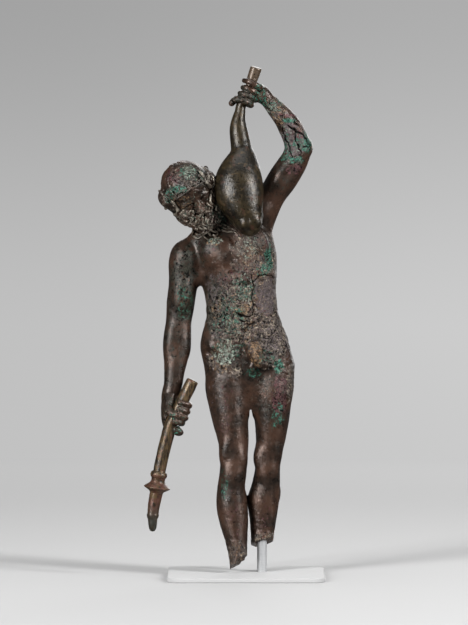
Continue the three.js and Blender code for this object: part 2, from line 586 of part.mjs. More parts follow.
// Distance from the top end in mm, radius
const TORCH_PROFILE = [
  [0, 0], [0, 2.8], [0.6, 3.45], [8, 3.45], [20, 3.5], [34, 3.65], [44, 3.6], [54.6, 3.5],
  [55.5, 4.5], [56.8, 4.85], [58.0, 4.5], [58.7, 3.9], [60.2, 3.8], [61.4, 4.4],
  [63.3, 6.8], [63.9, 7.4], [64.5, 6.9], [66.0, 4.3], [67.0, 3.65],
  [73, 3.4], [78.6, 3.15], [79.6, 3.4], [81.0, 3.2],
  [81.8, 2.7], [84.4, 2.45], [87.2, 1.9], [88.5, 1.2], [89.1, 0],
];
const TORCH_SIDES = 14;

// Closed tube along a smooth path, its radius given by a profile that starts and ends on the axis
function sweep(path, profile, sides, grow = 0) {
  const places = path.map((point) => new THREE.Vector3(...point));
  const curve = new THREE.CatmullRomCurve3(places, false, 'centripetal');
  const length = curve.getLength();
  const inner = profile.slice(1, -1);
  const side = new THREE.Vector3(0, 1, 0);
  const points = [];
  const ringAt = (distance) => {
    const share = THREE.MathUtils.clamp(distance / length, 0, 1);
    const along = curve.getTangentAt(share);
    const across = new THREE.Vector3().crossVectors(along, side).normalize();
    const deep = new THREE.Vector3().crossVectors(across, along);
    return { middle: curve.getPointAt(share), across, deep };
  };
  for (const [distance, radius] of inner) {
    const { middle, across, deep } = ringAt(distance);
    for (let i = 0; i < sides; i++) {
      const angle = i / sides * 2 * Math.PI;
      points.push(middle.clone()
        .addScaledVector(across, (radius + grow) * Math.cos(angle))
        .addScaledVector(deep, (radius + grow) * Math.sin(angle)));
    }
  }
  const start = points.push(curve.getPointAt(0)) - 1;
  const end = points.push(curve.getPointAt(Math.min(profile.at(-1)[0] / length, 1))) - 1;
  const faces = [];
  for (let i = 0; i < sides; i++) {
    const next = (i + 1) % sides;
    faces.push(start, i, next);
    for (let ring = 0; ring < inner.length - 1; ring++) {
      const a = ring * sides;
      const b = a + sides;
      faces.push(a + i, b + i, a + next, a + next, b + i, b + next);
    }
    const last = (inner.length - 1) * sides;
    faces.push(end, last + next, last + i);
  }
  return geometryFrom(points.flatMap((point) => point.toArray()), faces);
}

// Rod and foot

function makeRod(grow = 0) {
  const height = ROD.top - ROD.low + grow;
  const geometry = new THREE.CylinderGeometry(ROD.radius + grow, ROD.radius + grow, height, ROD.sides);
  return geometry.rotateX(Math.PI / 2).translate(0, 0, ROD.low + height / 2);
}

function makeFoot() {
  const { width, depth, thick, corner, bevel, centre } = FOOT;
  const x = width / 2 - bevel;
  const y = depth / 2 - bevel;
  const r = corner - bevel;
  const outline = new THREE.Shape();
  outline.moveTo(-x + r, -y);
  outline.lineTo(x - r, -y);
  outline.absarc(x - r, -y + r, r, -Math.PI / 2, 0);
  outline.lineTo(x, y - r);
  outline.absarc(x - r, y - r, r, 0, Math.PI / 2);
  outline.lineTo(-x + r, y);
  outline.absarc(-x + r, y - r, r, Math.PI / 2, Math.PI);
  outline.lineTo(-x, -y + r);
  outline.absarc(-x + r, -y + r, r, Math.PI, Math.PI * 1.5);
  const plate = new THREE.ExtrudeGeometry(outline, {
    depth: thick - 2 * bevel,
    bevelSize: bevel,
    bevelThickness: bevel,
    bevelSegments: 1,
    curveSegments: 4,
  });
  return plate.translate(centre[0], centre[1], bevel);
}

// Frames and geometry helpers

function turned(place, [x, y, z]) {
  const euler = new THREE.Euler(...[x, y, z].map(THREE.MathUtils.degToRad), 'ZYX');
  return new THREE.Matrix4().makeRotationFromEuler(euler).setPosition(...place);
}

function geometryFrom(coordinates, faces) {
  const geometry = new THREE.BufferGeometry();
  geometry.setAttribute('position', new THREE.Float32BufferAttribute(coordinates, 3));
  geometry.setIndex(Array.from(faces));
  return geometry;
}

// Smooth curve through rows of numbers, with every number of a row carried along
const PATH_STEPS = 6;
function smoothRows(rows) {
  const full = rows.map((row) => (row.length === 4 ? [...row, row[3]] : row));
  if (full.length < 3) return full;
  const extended = (a, b) => a.map((value, i) => 2 * value - b[i]);
  const p = [extended(full[0], full[1]), ...full, extended(full.at(-1), full.at(-2))];
  const out = [];
  for (let i = 1; i < p.length - 2; i++) {
    for (let step = 0; step < PATH_STEPS; step++) {
      const t = step / PATH_STEPS;
      out.push(p[i].map((value, n) => 0.5 * (2 * value + (p[i + 1][n] - p[i - 1][n]) * t
        + (2 * p[i - 1][n] - 5 * value + 4 * p[i + 1][n] - p[i + 2][n]) * t ** 2
        + (3 * value - p[i - 1][n] - 3 * p[i + 1][n] + p[i + 2][n]) * t ** 3)));
    }
  }
  out.push(full.at(-1));
  return out;
}

// Distance to an ellipsoid, near its surface
function lumpDistance(place, halfSizes, axes) {
  const [a, b, c] = halfSizes;
  return (x, y, z) => {
    const dx = x - place.x;
    const dy = y - place.y;
    const dz = z - place.z;
    const u = (axes[0].x * dx + axes[0].y * dy + axes[0].z * dz) / a;
    const v = (axes[1].x * dx + axes[1].y * dy + axes[1].z * dz) / b;
    const w = (axes[2].x * dx + axes[2].y * dy + axes[2].z * dz) / c;
    const reach = Math.sqrt(u * u + v * v + w * w) + 1e-6;
    const slope = Math.sqrt(u * u / (a * a) + v * v / (b * b) + w * w / (c * c)) + 1e-6;
    return reach * (reach - 1) / slope;
  };
}

// Distance to a short straight piece of a limb with oval ends. Its deep axis lies along y as nearly as
// the direction of the limb allows.
function pieceDistance(from, to) {
  const start = new THREE.Vector3(...from);
  const along = new THREE.Vector3(...to).sub(start);
  const lengthSquared = Math.max(along.lengthSq(), 1e-9);
  const unit = along.clone().divideScalar(Math.sqrt(lengthSquared));
  const deep = new THREE.Vector3(0, 1, 0).addScaledVector(unit, -unit.y).normalize();
  return (x, y, z) => {
    const dx = x - start.x;
    const dy = y - start.y;
    const dz = z - start.z;
    const t = Math.min(Math.max((dx * along.x + dy * along.y + dz * along.z) / lengthSquared, 0), 1);
    const qx = dx - t * along.x;
    const qy = dy - t * along.y;
    const qz = dz - t * along.z;
    const wide = from[3] + t * (to[3] - from[3]);
    const thick = from[4] + t * (to[4] - from[4]);
    const inDepth = qx * deep.x + qy * deep.y + qz * deep.z;
    const across = Math.max(qx * qx + qy * qy + qz * qz - inDepth * inDepth, 0) / (wide * wide);
    const through = inDepth * inDepth / (thick * thick);
    const reach = Math.sqrt(across + through) + 1e-6;
    const slope = Math.sqrt(across / (wide * wide) + through / (thick * thick)) + 1e-6;
    return reach * (reach - 1) / slope;
  };
}

// Clay is a grid of distances to the surface, negative inside, to which soft-edged shapes are added
// or from which they are hollowed out.

const FAR = 50;

class Clay {
  constructor(low, high, cell) {
    this.low = low;
    this.cell = cell;
    this.count = low.map((value, i) => Math.ceil((high[i] - value) / cell) + 1);
    this.field = new Float32Array(this.count[0] * this.count[1] * this.count[2]).fill(FAR);
    this.scratch = new Float32Array(this.field.length);
    this.frame = new THREE.Matrix4();
  }

  // The same clay, with shapes placed in a frame of their own
  within(frame) {
    return Object.assign(Object.create(this), { frame: this.frame.clone().multiply(frame) });
  }

  // First and last cell in each direction of a box that is grown by a margin
  cells(low, high, margin) {
    return [0, 1, 2].map((axis) => [
      Math.max(Math.floor((low[axis] - margin - this.low[axis]) / this.cell), 0),
      Math.min(Math.ceil((high[axis] + margin - this.low[axis]) / this.cell), this.count[axis] - 1),
    ]);
  }

  forCells([[x0, x1], [y0, y1], [z0, z1]], visit) {
    const [nx, ny] = this.count;
    for (let k = z0; k <= z1; k++) {
      for (let j = y0; j <= y1; j++) {
        for (let i = x0; i <= x1; i++) {
          const x = this.low[0] + i * this.cell;
          const y = this.low[1] + j * this.cell;
          const z = this.low[2] + k * this.cell;
          visit((k * ny + j) * nx + i, x, y, z);
        }
      }
    }
  }

  // Joins pieces, each a box with a distance inside it, to the clay, or takes them away
  work(pieces, softness, hollow) {
    const margin = 2 * softness + 2.5 * this.cell;
    const near = this.scratch.fill(FAR);
    const reached = [[Infinity, 0], [Infinity, 0], [Infinity, 0]];
    for (const { low, high, distance } of pieces) {
      const box = this.cells(low, high, margin);
      this.forCells(box, (index, x, y, z) => { near[index] = Math.min(near[index], distance(x, y, z)); });
      box.forEach(([first, last], axis) => {
        reached[axis] = [Math.min(reached[axis][0], first), Math.max(reached[axis][1], last)];
      });
    }
    this.forCells(reached, (index) => {
      const old = this.field[index];
      const added = hollow ? -near[index] : near[index];
      const blend = Math.max(softness - Math.abs(old - added), 0) / softness;
      const round = blend * blend * softness / 4;
      this.field[index] = hollow ? Math.max(old, added) + round : Math.min(old, added) - round;
    });
  }

  lump(place, halfSizes, turn = NO_TURN, softness = 3, hollow = false) {
    const frame = this.frame.clone().multiply(turned(place, turn));
    const axes = [new THREE.Vector3(), new THREE.Vector3(), new THREE.Vector3()];
    frame.extractBasis(...axes);
    const middle = new THREE.Vector3().setFromMatrixPosition(frame);
    const reach = ['x', 'y', 'z'].map((n) => Math.hypot(...axes.map((axis, i) => axis[n] * halfSizes[i])));
    const low = middle.toArray().map((value, i) => value - reach[i]);
    const high = middle.toArray().map((value, i) => value + reach[i]);
    this.work([{ low, high, distance: lumpDistance(middle, halfSizes, axes) }], softness, hollow);
  }

  hollowLump(place, halfSizes, turn, softness) {
    this.lump(place, halfSizes, turn, softness, true);
  }

  limb(rows, softness = 3, hollow = false) {
    const placed = smoothRows(rows.map(([x, y, z, ...sizes]) => [
      ...new THREE.Vector3(x, y, z).applyMatrix4(this.frame).toArray(),
      ...sizes,
    ]));
    const pieces = placed.slice(1).map((to, i) => {
      const from = placed[i];
      const reach = Math.max(from[3], from[4], to[3], to[4]);
      const low = [0, 1, 2].map((n) => Math.min(from[n], to[n]) - reach);
      const high = [0, 1, 2].map((n) => Math.max(from[n], to[n]) + reach);
      return { low, high, distance: pieceDistance(from, to) };
    });
    this.work(pieces, softness, hollow);
  }

  hollowLimb(rows, softness) {
    this.limb(rows, softness, true);
  }

  // Takes away what lies past a plane through a point, within reach of that point
  slice({ at, normal, reach }) {
    const away = new THREE.Vector3(...normal).normalize();
    const low = at.map((value, axis) => value - reach[axis]);
    const high = at.map((value, axis) => value + reach[axis]);
    this.forCells(this.cells(low, high, 0), (index, x, y, z) => {
      const past = (x - at[0]) * away.x + (y - at[1]) * away.y + (z - at[2]) * away.z;
      this.field[index] = Math.max(this.field[index], past);
    });
  }

  // Closed triangle mesh of the clay's surface, brought down to a number of faces
  surface(faceCount, weightAt = () => 1) {
    const { points, faces } = triangulate(this);
    return new Thinner(points, faces, weightAt).thin(faceCount);
  }
}

// Corners of a cell and the edges between them, in the order of the case tables
const CORNERS = [[0, 0, 0], [1, 0, 0], [1, 1, 0], [0, 1, 0], [0, 0, 1], [1, 0, 1], [1, 1, 1], [0, 1, 1]];
const EDGES = [
  [0, 1], [1, 2], [2, 3], [3, 0], [4, 5], [5, 6],
  [6, 7], [7, 4], [0, 4], [1, 5], [2, 6], [3, 7],
];
const CASE_LENGTH = 16;

function triangulate(clay) {
  const { field, cell, low } = clay;
  const [nx, ny, nz] = clay.count;
  const stride = [1, nx, nx * ny];
  const cornerOffset = CORNERS.map(([x, y, z]) => x * stride[0] + y * stride[1] + z * stride[2]);
  const points = [];
  const known = new Map();
  const crossing = (i, j, k, edge) => {
    const [a, b] = EDGES[edge];
    const base = (k * ny + j) * nx + i;
    const from = base + cornerOffset[a];
    const to = base + cornerOffset[b];
    const key = Math.min(from, to) * 3 + [0, 1, 2].find((axis) => CORNERS[a][axis] !== CORNERS[b][axis]);
    if (known.has(key)) return known.get(key);
    const share = THREE.MathUtils.clamp(field[from] / (field[from] - field[to]), 0.05, 0.95);
    const place = [i, j, k].map((n, axis) => {
      const step = CORNERS[a][axis] + share * (CORNERS[b][axis] - CORNERS[a][axis]);
      return low[axis] + cell * (n + step);
    });
    points.push(...place);
    known.set(key, points.length / 3 - 1);
    return points.length / 3 - 1;
  };
  const faces = [];
  for (let k = 0; k < nz - 1; k++) {
    for (let j = 0; j < ny - 1; j++) {
      for (let i = 0; i < nx - 1; i++) {
        const base = (k * ny + j) * nx + i;
        let kind = 0;
        for (let corner = 0; corner < 8; corner++) {
          if (field[base + cornerOffset[corner]] < 0) kind |= 1 << corner;
        }
        if (edgeTable[kind] === 0) continue;
        for (let n = kind * CASE_LENGTH; triTable[n] >= 0; n += 3) {
          faces.push(...[n, n + 2, n + 1].map((m) => crossing(i, j, k, triTable[m])));
        }
      }
    }
  }
  return { points, faces };
}

// Thinner joins the two ends of the edge that matters least to the shape, again and again.
// Each point keeps a quadric: the sum of the squared distances to the planes of the faces round it.

const EDGE_WEIGHT = 0.0004;        // keeps faces even where the surface is flat
const KEEP_FACING = 0.25;          // least cosine between a face's old and new direction

class Thinner {
  constructor(points, faces, weightAt) {
    this.points = Float64Array.from(points);
    this.weightAt = weightAt;
    this.faces = Int32Array.from(faces);
    this.alive = new Uint8Array(this.faces.length / 3).fill(1);
    this.around = Array.from({ length: this.points.length / 3 }, () => []);
    this.faces.forEach((point, n) => this.around[point].push(Math.floor(n / 3)));
    this.quadrics = new Float64Array(this.around.length * 10);
    this.version = new Int32Array(this.around.length);
    this.alive.forEach((_, face) => this.addPlane(face));
    this.queue = [];
    this.around.forEach((_, point) => {
      for (const other of this.neighbours(point)) if (other > point) this.offer(point, other);
    });
  }

  place(point) {
    return [this.points[3 * point], this.points[3 * point + 1], this.points[3 * point + 2]];
  }

  // Direction of a face, as long as twice its area, with one point moved if that is asked for
  facing(face, moved = -1, to = null) {
    const [p, q, r] = [0, 1, 2].map((n) => {
      const point = this.faces[3 * face + n];
      return point === moved ? to : this.place(point);
    });
    const u = [q[0] - p[0], q[1] - p[1], q[2] - p[2]];
    const v = [r[0] - p[0], r[1] - p[1], r[2] - p[2]];
    return [u[1] * v[2] - u[2] * v[1], u[2] * v[0] - u[0] * v[2], u[0] * v[1] - u[1] * v[0]];
  }

  addPlane(face) {
    const direction = this.facing(face);
    const size = Math.hypot(...direction) + 1e-12;
    const [a, b, c] = direction.map((value) => value / size);
    const [x, y, z] = this.place(this.faces[3 * face]);
    const d = -(a * x + b * y + c * z);
    const terms = [a * a, a * b, a * c, a * d, b * b, b * c, b * d, c * c, c * d, d * d];
    const weight = this.weightAt(x, y, z) * size / 2;
    for (let n = 0; n < 3; n++) {
      const start = this.faces[3 * face + n] * 10;
      terms.forEach((term, i) => { this.quadrics[start + i] += term * weight; });
    }
  }

  neighbours(point) {
    const found = new Set();
    for (const face of this.around[point]) {
      for (let n = 0; n < 3; n++) found.add(this.faces[3 * face + n]);
    }
    found.delete(point);
    return found;
  }

  // Puts an edge in the queue with its best joining place and what that costs
  offer(a, b) {
    const q = new Float64Array(10);
    for (let i = 0; i < 10; i++) q[i] = this.quadrics[10 * a + i] + this.quadrics[10 * b + i];
    const p = this.place(a);
    const r = this.place(b);
    const middle = p.map((value, i) => (value + r[i]) / 2);
    const lengthSquared = p.reduce((sum, value, i) => sum + (value - r[i]) ** 2, 0);
    const best = bestPlace(q, middle, lengthSquared);
    const cost = quadricAt(q, best) + EDGE_WEIGHT * lengthSquared * lengthSquared;
    pushHeap(this.queue, { cost, a, b, best, versionA: this.version[a], versionB: this.version[b] });
  }

  mayJoin(a, b, best) {
    const shared = [...this.neighbours(a)].filter((point) => this.neighbours(b).has(point));
    if (shared.length !== 2) return false;
    for (const [point, other] of [[a, b], [b, a]]) {
      for (const face of this.around[point]) {
        const corners = this.faces.subarray(3 * face, 3 * face + 3);
        if (corners.includes(other)) continue;
        const before = this.facing(face);
        const after = this.facing(face, point, best);
        const cosine = before[0] * after[0] + before[1] * after[1] + before[2] * after[2];
        if (cosine < KEEP_FACING * Math.hypot(...before) * Math.hypot(...after)) return false;
      }
    }
    return true;
  }

  join(a, b, best) {
    this.points.set(best, 3 * a);
    for (let i = 0; i < 10; i++) this.quadrics[10 * a + i] += this.quadrics[10 * b + i];
    for (const face of this.around[b]) {
      const corners = this.faces.subarray(3 * face, 3 * face + 3);
      if (corners.includes(a)) {
        this.alive[face] = 0;
        for (const point of corners) {
          this.around[point] = this.around[point].filter((other) => other !== face);
        }
      } else {
        corners[corners.indexOf(b)] = a;
        this.around[a].push(face);
      }
    }
    this.around[b] = [];
    this.version[b] += 1;
    this.version[a] += 1;
    for (const other of this.neighbours(a)) this.offer(Math.min(a, other), Math.max(a, other));
  }

  thin(wanted) {
    let left = this.alive.length;
    while (left > wanted && this.queue.length) {
      const { a, b, best, versionA, versionB } = popHeap(this.queue);
      if (this.version[a] !== versionA || this.version[b] !== versionB) continue;
      if (!this.mayJoin(a, b, best)) continue;
      this.join(a, b, best);
      left -= 2;
    }
    return this.packed();
  }

  packed() {
    const renumbered = new Map();
    const coordinates = [];
    const faces = [];
    this.alive.forEach((alive, face) => {
      if (!alive) return;
      for (let n = 0; n < 3; n++) {
        const point = this.faces[3 * face + n];
        if (!renumbered.has(point)) {
          renumbered.set(point, renumbered.size);
          coordinates.push(...this.place(point));
        }
        faces.push(renumbered.get(point));
      }
    });
    return geometryFrom(coordinates, faces);
  }
}

function quadricAt(q, [x, y, z]) {
  return q[0] * x * x + 2 * q[1] * x * y + 2 * q[2] * x * z + 2 * q[3] * x + q[4] * y * y
    + 2 * q[5] * y * z + 2 * q[6] * y + q[7] * z * z + 2 * q[8] * z + q[9];
}

// The place with the least cost, or the middle of the edge where that is not clear or too far away
function bestPlace(q, middle, lengthSquared) {
  const form = new THREE.Matrix3(q[0], q[1], q[2], q[1], q[4], q[5], q[2], q[5], q[7]);
  const size = q[0] + q[4] + q[7];
  if (Math.abs(form.determinant()) < 1e-4 * size ** 3) return middle;
  const best = new THREE.Vector3(-q[3], -q[6], -q[8]).applyMatrix3(form.invert()).toArray();
  const shift = best.reduce((sum, value, i) => sum + (value - middle[i]) ** 2, 0);
  return shift > lengthSquared ? middle : best;
}

function pushHeap(heap, item) {
  let n = heap.push(item) - 1;
  while (n > 0) {
    const parent = (n - 1) >> 1;
    if (heap[parent].cost <= item.cost) break;
    heap[n] = heap[parent];
    n = parent;
  }
  heap[n] = item;
}

function popHeap(heap) {
  const first = heap[0];
  const item = heap.pop();
  if (!heap.length) return first;
  let n = 0;
  while (2 * n + 1 < heap.length) {
    let child = 2 * n + 1;
    if (child + 1 < heap.length && heap[child + 1].cost < heap[child].cost) child += 1;
    if (heap[child].cost >= item.cost) break;
    heap[n] = heap[child];
    n = child;
  }
  heap[n] = item;
  return first;
}

// Cuts between neighbouring pieces

const wasm = await Module();
wasm.setup();

function toSolid(geometry) {
  const bare = geometry.clone();
  bare.deleteAttribute('normal');
  bare.deleteAttribute('uv');
  const merged = mergeVertices(bare, 1e-4);
  return new wasm.Manifold(new wasm.Mesh({
    numProp: 3,
    vertProperties: Float32Array.from(merged.attributes.position.array),
    triVerts: Uint32Array.from(merged.index.array),
  }));
}

function toGeometry(solid) {
  const mesh = solid.getMesh();
  return geometryFrom(mesh.vertProperties, mesh.triVerts);
}

// The same closed surface, moved outwards
function grown(geometry, distance) {
  const merged = mergeVertices(geometry.clone());
  merged.computeVertexNormals();
  const { position, normal } = merged.attributes;
  for (let i = 0; i < position.count; i++) {
    position.setXYZ(
      i,
      position.getX(i) + distance * normal.getX(i),
      position.getY(i) + distance * normal.getY(i),
      position.getZ(i) + distance * normal.getZ(i),
    );
  }
  return merged;
}

// Where the figure is cut by what it holds, only its main body is kept
function largest(solid) {
  return solid.decompose().sort((a, b) => b.volume() - a.volume())[0];
}

// The head and the hands keep smaller faces than the rest
const CLOSE_WORK = [
  { at: HEAD_PLACE, reach: 34 },
  { at: RIGHT_GRIP.at(8, 0, 0), reach: 14 },
  { at: LEFT_GRIP.at(8, 0, 0), reach: 14 },
];
const CLOSE_WEIGHT = 5;

function closeWork(x, y, z) {
  const close = CLOSE_WORK.some(({ at, reach }) => Math.hypot(x - at[0], y - at[1], z - at[2]) < reach);
  return close ? CLOSE_WEIGHT : 1;
}

function modelFigure(wineskin) {
  const clay = new Clay(FIGURE.low, FIGURE.high, FIGURE.cell);
  modelTrunk(clay);
  modelLegs(clay);
  modelRightArm(clay);
  modelLeftArm(clay);
  modelHands(clay);
  modelHead(clay);
  const body = toSolid(clay.surface(FIGURE.faces, closeWork))
    .subtract(toSolid(grown(wineskin, FACET_GAP)))
    .subtract(toSolid(sweep(TORCH_PATH, TORCH_PROFILE, TORCH_SIDES, FACET_GAP)))
    .subtract(toSolid(makeRod(GAP)));
  return toGeometry(largest(body));
}

// Materials

const BRONZE = new THREE.MeshStandardMaterial({ color: 0x3a2c24, roughness: 0.42, metalness: 0.8 });
const OLIVE_BRONZE = new THREE.MeshStandardMaterial({ color: 0x4a3d28, roughness: 0.34, metalness: 0.8 });
const RED_BRONZE = new THREE.MeshStandardMaterial({ color: 0x4f3826, roughness: 0.45, metalness: 0.8 });
const PALE_METAL = new THREE.MeshStandardMaterial({ color: 0xc9cacc, roughness: 0.35, metalness: 0.6 });
const PALE_PAINT = new THREE.MeshStandardMaterial({ color: 0xd2d2d2, roughness: 0.7, metalness: 0.0 });

// Assembly

const statuette = new THREE.Group();

function addPiece(name, geometry, material) {
  const mesh = new THREE.Mesh(geometry, material);
  mesh.name = name;
  statuette.add(mesh);
}

const wineskin = modelWineskin();
addPiece('satyr', modelFigure(wineskin), BRONZE);
addPiece('wineskin', wineskin, OLIVE_BRONZE);
addPiece('torch', sweep(TORCH_PATH, TORCH_PROFILE, TORCH_SIDES), RED_BRONZE);
addPiece('support_rod', makeRod(), PALE_METAL);
addPiece('support_foot', makeFoot(), PALE_PAINT);

export default statuette;
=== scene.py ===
"""Looks of the bronze satyr statuette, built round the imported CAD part.

Shapes are modelled in millimetres from the same named rows and lumps as the part's source, on a finer
grid and with finer carving, and brought to metres when they become meshes. The viewer stands at -Y.
"""

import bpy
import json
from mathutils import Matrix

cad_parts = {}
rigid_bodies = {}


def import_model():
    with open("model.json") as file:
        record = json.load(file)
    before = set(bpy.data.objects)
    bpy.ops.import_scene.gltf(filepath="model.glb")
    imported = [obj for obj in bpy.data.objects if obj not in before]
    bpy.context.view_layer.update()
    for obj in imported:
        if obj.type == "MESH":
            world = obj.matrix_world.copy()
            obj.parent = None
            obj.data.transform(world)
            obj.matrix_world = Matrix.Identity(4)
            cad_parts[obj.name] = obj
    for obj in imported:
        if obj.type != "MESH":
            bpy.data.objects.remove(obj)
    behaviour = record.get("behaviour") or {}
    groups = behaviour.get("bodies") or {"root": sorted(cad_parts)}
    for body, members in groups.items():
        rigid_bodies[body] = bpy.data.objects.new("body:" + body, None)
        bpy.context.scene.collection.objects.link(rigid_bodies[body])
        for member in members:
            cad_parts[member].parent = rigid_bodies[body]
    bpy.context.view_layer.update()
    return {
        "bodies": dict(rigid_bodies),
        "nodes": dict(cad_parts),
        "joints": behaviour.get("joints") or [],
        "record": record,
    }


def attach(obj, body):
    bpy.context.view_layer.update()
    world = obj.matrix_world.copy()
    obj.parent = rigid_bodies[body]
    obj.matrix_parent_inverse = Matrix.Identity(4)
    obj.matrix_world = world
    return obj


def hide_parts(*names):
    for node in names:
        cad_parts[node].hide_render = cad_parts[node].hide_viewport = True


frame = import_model()

import copy
import itertools
import json
import math

import bpy
import numpy as np
import openvdb
from mathutils import Euler, Matrix, Vector

MM = 0.001

# Fineness: cell of the modelling grid in mm, and most faces of a piece

FIGURE = {"low": (-74, -32, 2), "high": (34, 30, 290), "cell": 0.45, "faces": 190000}
SKIN = {"low": (-32, -34, 186), "high": (8, 8, 292), "cell": 0.45, "faces": 60000}
HEAD_BOX = {"low": (-62, -34, 184), "high": (-14, 14, 242), "cell": 0.33}
HAIR_FACES = 170000
WREATH_FACES = 90000

# What the figure holds keeps this much room in its hands
SEAT = 0.12

NO_TURN = (0, 0, 0)

# Trunk. Rows are x, y, z of the centre line, half width and half depth.

TRUNK = [
    (-7.3, 0.5, 104, 15, 10), (-7.9, 1.2, 117, 23.2, 13.5), (-8.9, 0.6, 126, 24.3, 13.4),
    (-10.1, -0.8, 135, 22.4, 12.2), (-11.1, -1.8, 144, 20.6, 11.4), (-11.5, -1.7, 153, 19.8, 11.8),
    (-12.3, -0.9, 162, 19.8, 13.0), (-13.4, -0.2, 171, 20.6, 14.0), (-14.8, 0.5, 180, 20.8, 13.6),
    (-17.0, 1, 188, 18.5, 11.5), (-19.5, 1.3, 194, 14, 9.5), (-21.5, 1, 200, 8.5, 8.5),
]
SHOULDER_GIRDLE = {
    "right": [(-23, 2, 198, 7), (-32, 2, 189.5, 7.2), (-41, 1.5, 181, 7.6)],
    "left": [(-20, 2, 199, 7), (-9, 3, 200, 8.5), (-1.4, 3, 201.5, 7.4)],
}
FLANKS = {
    "stretched_left": [
        (-1.2, 3.5, 158, 6.2, 9), (-0.5, 3.5, 178, 8, 9.5), (-2.0, 2.5, 196, 6.6, 9),
        (-0.4, 1.5, 206, 6.4, 8),
    ],
    "right_armpit": [(-25, 4, 158, 5, 8), (-29.5, 4, 171, 5.5, 8), (-37, 3, 182, 5.8, 7)],
    "right_armpit_fold": [(-34.5, 2, 172, 3.5, 6), (-35.8, 1.5, 167, 3.0, 5.5)],
}
# A lump is an ellipsoid: place, half sizes, turn about x, y and z in degrees, softness of its edge
TRUNK_LUMPS = {
    "right_pectoral": ((-21.8, -9.2, 181.6), (11.4, 6.3, 8.5), (0, 22, 4), 7),
    "left_pectoral": ((-7.5, -9.0, 186), (11.0, 5.6, 10), (0, -25, -6), 4),
    "right_ribs": ((-15.8, -8.0, 168), (7.5, 5.5, 6.5), NO_TURN, 6),
    "left_ribs": ((-6, -6.6, 168), (8.5, 6, 9), NO_TURN, 8),
    "right_flank_roll": ((-26.8, 0, 131), (6.0, 10.5, 8.5), (0, 10, 0), 6),
    "left_flank_roll": ((8.2, 0, 125), (6.4, 10.5, 9), (0, -12, 0), 4),
    "right_buttock": ((-18.2, 8.9, 114), (11.5, 9.2, 12.5), NO_TURN, 5),
    "left_buttock": ((4.6, 9.4, 111), (11.5, 9.2, 12.5), NO_TURN, 5),
    "right_shoulder_blade": ((-27, 11.2, 182), (7.5, 4.4, 9), (0, -18, 10), 4),
    "left_shoulder_blade": ((-6.5, 11.2, 188), (7.5, 4.4, 9), (0, 28, -8), 4),
    "pubic_mound": ((-4.6, -13.6, 126), (4.6, 3.6, 5.0), (0, -20, 0), 3),
}
BELLY = [
    (-15, -8.6, 165, 6, 4.2), (-12.8, -9.8, 153, 6.4, 4.6), (-11, -9.9, 141, 7.0, 4.8),
    (-9.5, -8.6, 131, 7.5, 4.6),
]
TRUNK_GROOVES = {
    "breastbone": [(-14.8, -14.0, 190, 0.5), (-13.0, -16.2, 180, 0.5), (-13.0, -15.4, 172, 0.4)],
    "belly_middle": [(-16, -15.7, 170, 0.6), (-13.2, -15.5, 156, 0.6), (-11.4, -15.5, 147, 0.6)],
    "right_groin": [(-30.5, -8.6, 126, 1.0), (-22, -13.4, 119.5, 1.1), (-13, -15.4, 114.5, 1.1)],
    "left_groin": [(13.5, -8.6, 123, 1.0), (6.5, -13.2, 118, 1.1), (0, -15, 113.5, 1.1)],
    "buttock_cleft": [(-7.0, 20.4, 122, 1.2), (-6.9, 20.2, 110, 2.0), (-6.8, 17.4, 100, 2.0)],
    "flank_fold": [(-33.5, -1.0, 146.4, 0.8), (-30.0, -7.5, 145.6, 0.8), (-25.5, -11.5, 144.2, 0.5)],
    "spine": [
        (-18, 15.6, 190, 1.0), (-14.8, 15.8, 175, 1.3), (-11.8, 12.4, 153, 1.5), (-9.2, 12.2, 137, 1.4),
        (-8, 15, 126, 1.0),
    ],
}
BELLY_CREASES = [(-14.6, 163.5), (-13.0, 154.5)]
CREASE = {"half_width": 7, "y": -15.6, "rise": 1, "radius": 0.25, "softness": 2.8}
NAVEL = ((-8.8, -15.6, 141.4), (3.8, 1.7, 2.4), (0, 24, 0), 1.2)
SEX_SHAFT = [
    (-8.4, -13.4, 133.4, 1.9), (-6.0, -15.4, 129.4, 2.4), (-3.4, -16.6, 124.2, 2.7),
    (-1.2, -16.2, 119.8, 2.2),
]
SEX_LUMPS = {
    "right": ((-5.2, -13.4, 119.0), (2.9, 2.8, 3.6), (0, 10, 0), 1.5),
    "left": ((1.2, -13.2, 119.8), (2.7, 2.8, 3.4), (0, -12, 0), 1.5),
}

# Cracks and folds of the belly: x and z as seen from the front, and half width. They are cut where
# the skin is.
TORSO_CRACKS = [
    [
        (-5.8, 170.0, 0.25), (-5.0, 164.5, 0.5), (-5.6, 158.5, 0.35), (-4.8, 153.0, 0.5),
        (-5.6, 148.0, 0.3),
    ],
    [(-5.4, 165.5, 0.2), (-2.6, 168.4, 0.4), (1.4, 170.0, 0.5), (5.4, 169.2, 0.4), (8.6, 166.6, 0.25)],
    [(-13.6, 148.2, 0.5), (-11.4, 147.0, 1.1), (-8.8, 146.4, 0.8), (-5.4, 147.4, 0.3)],
    [(-4.0, 142.8, 0.3), (-7.6, 141.4, 0.6), (-11.8, 139.2, 0.35)],
    [(-12.8, 145.0, 0.3), (-10.0, 143.6, 0.6), (-7.0, 143.8, 0.3)],
]


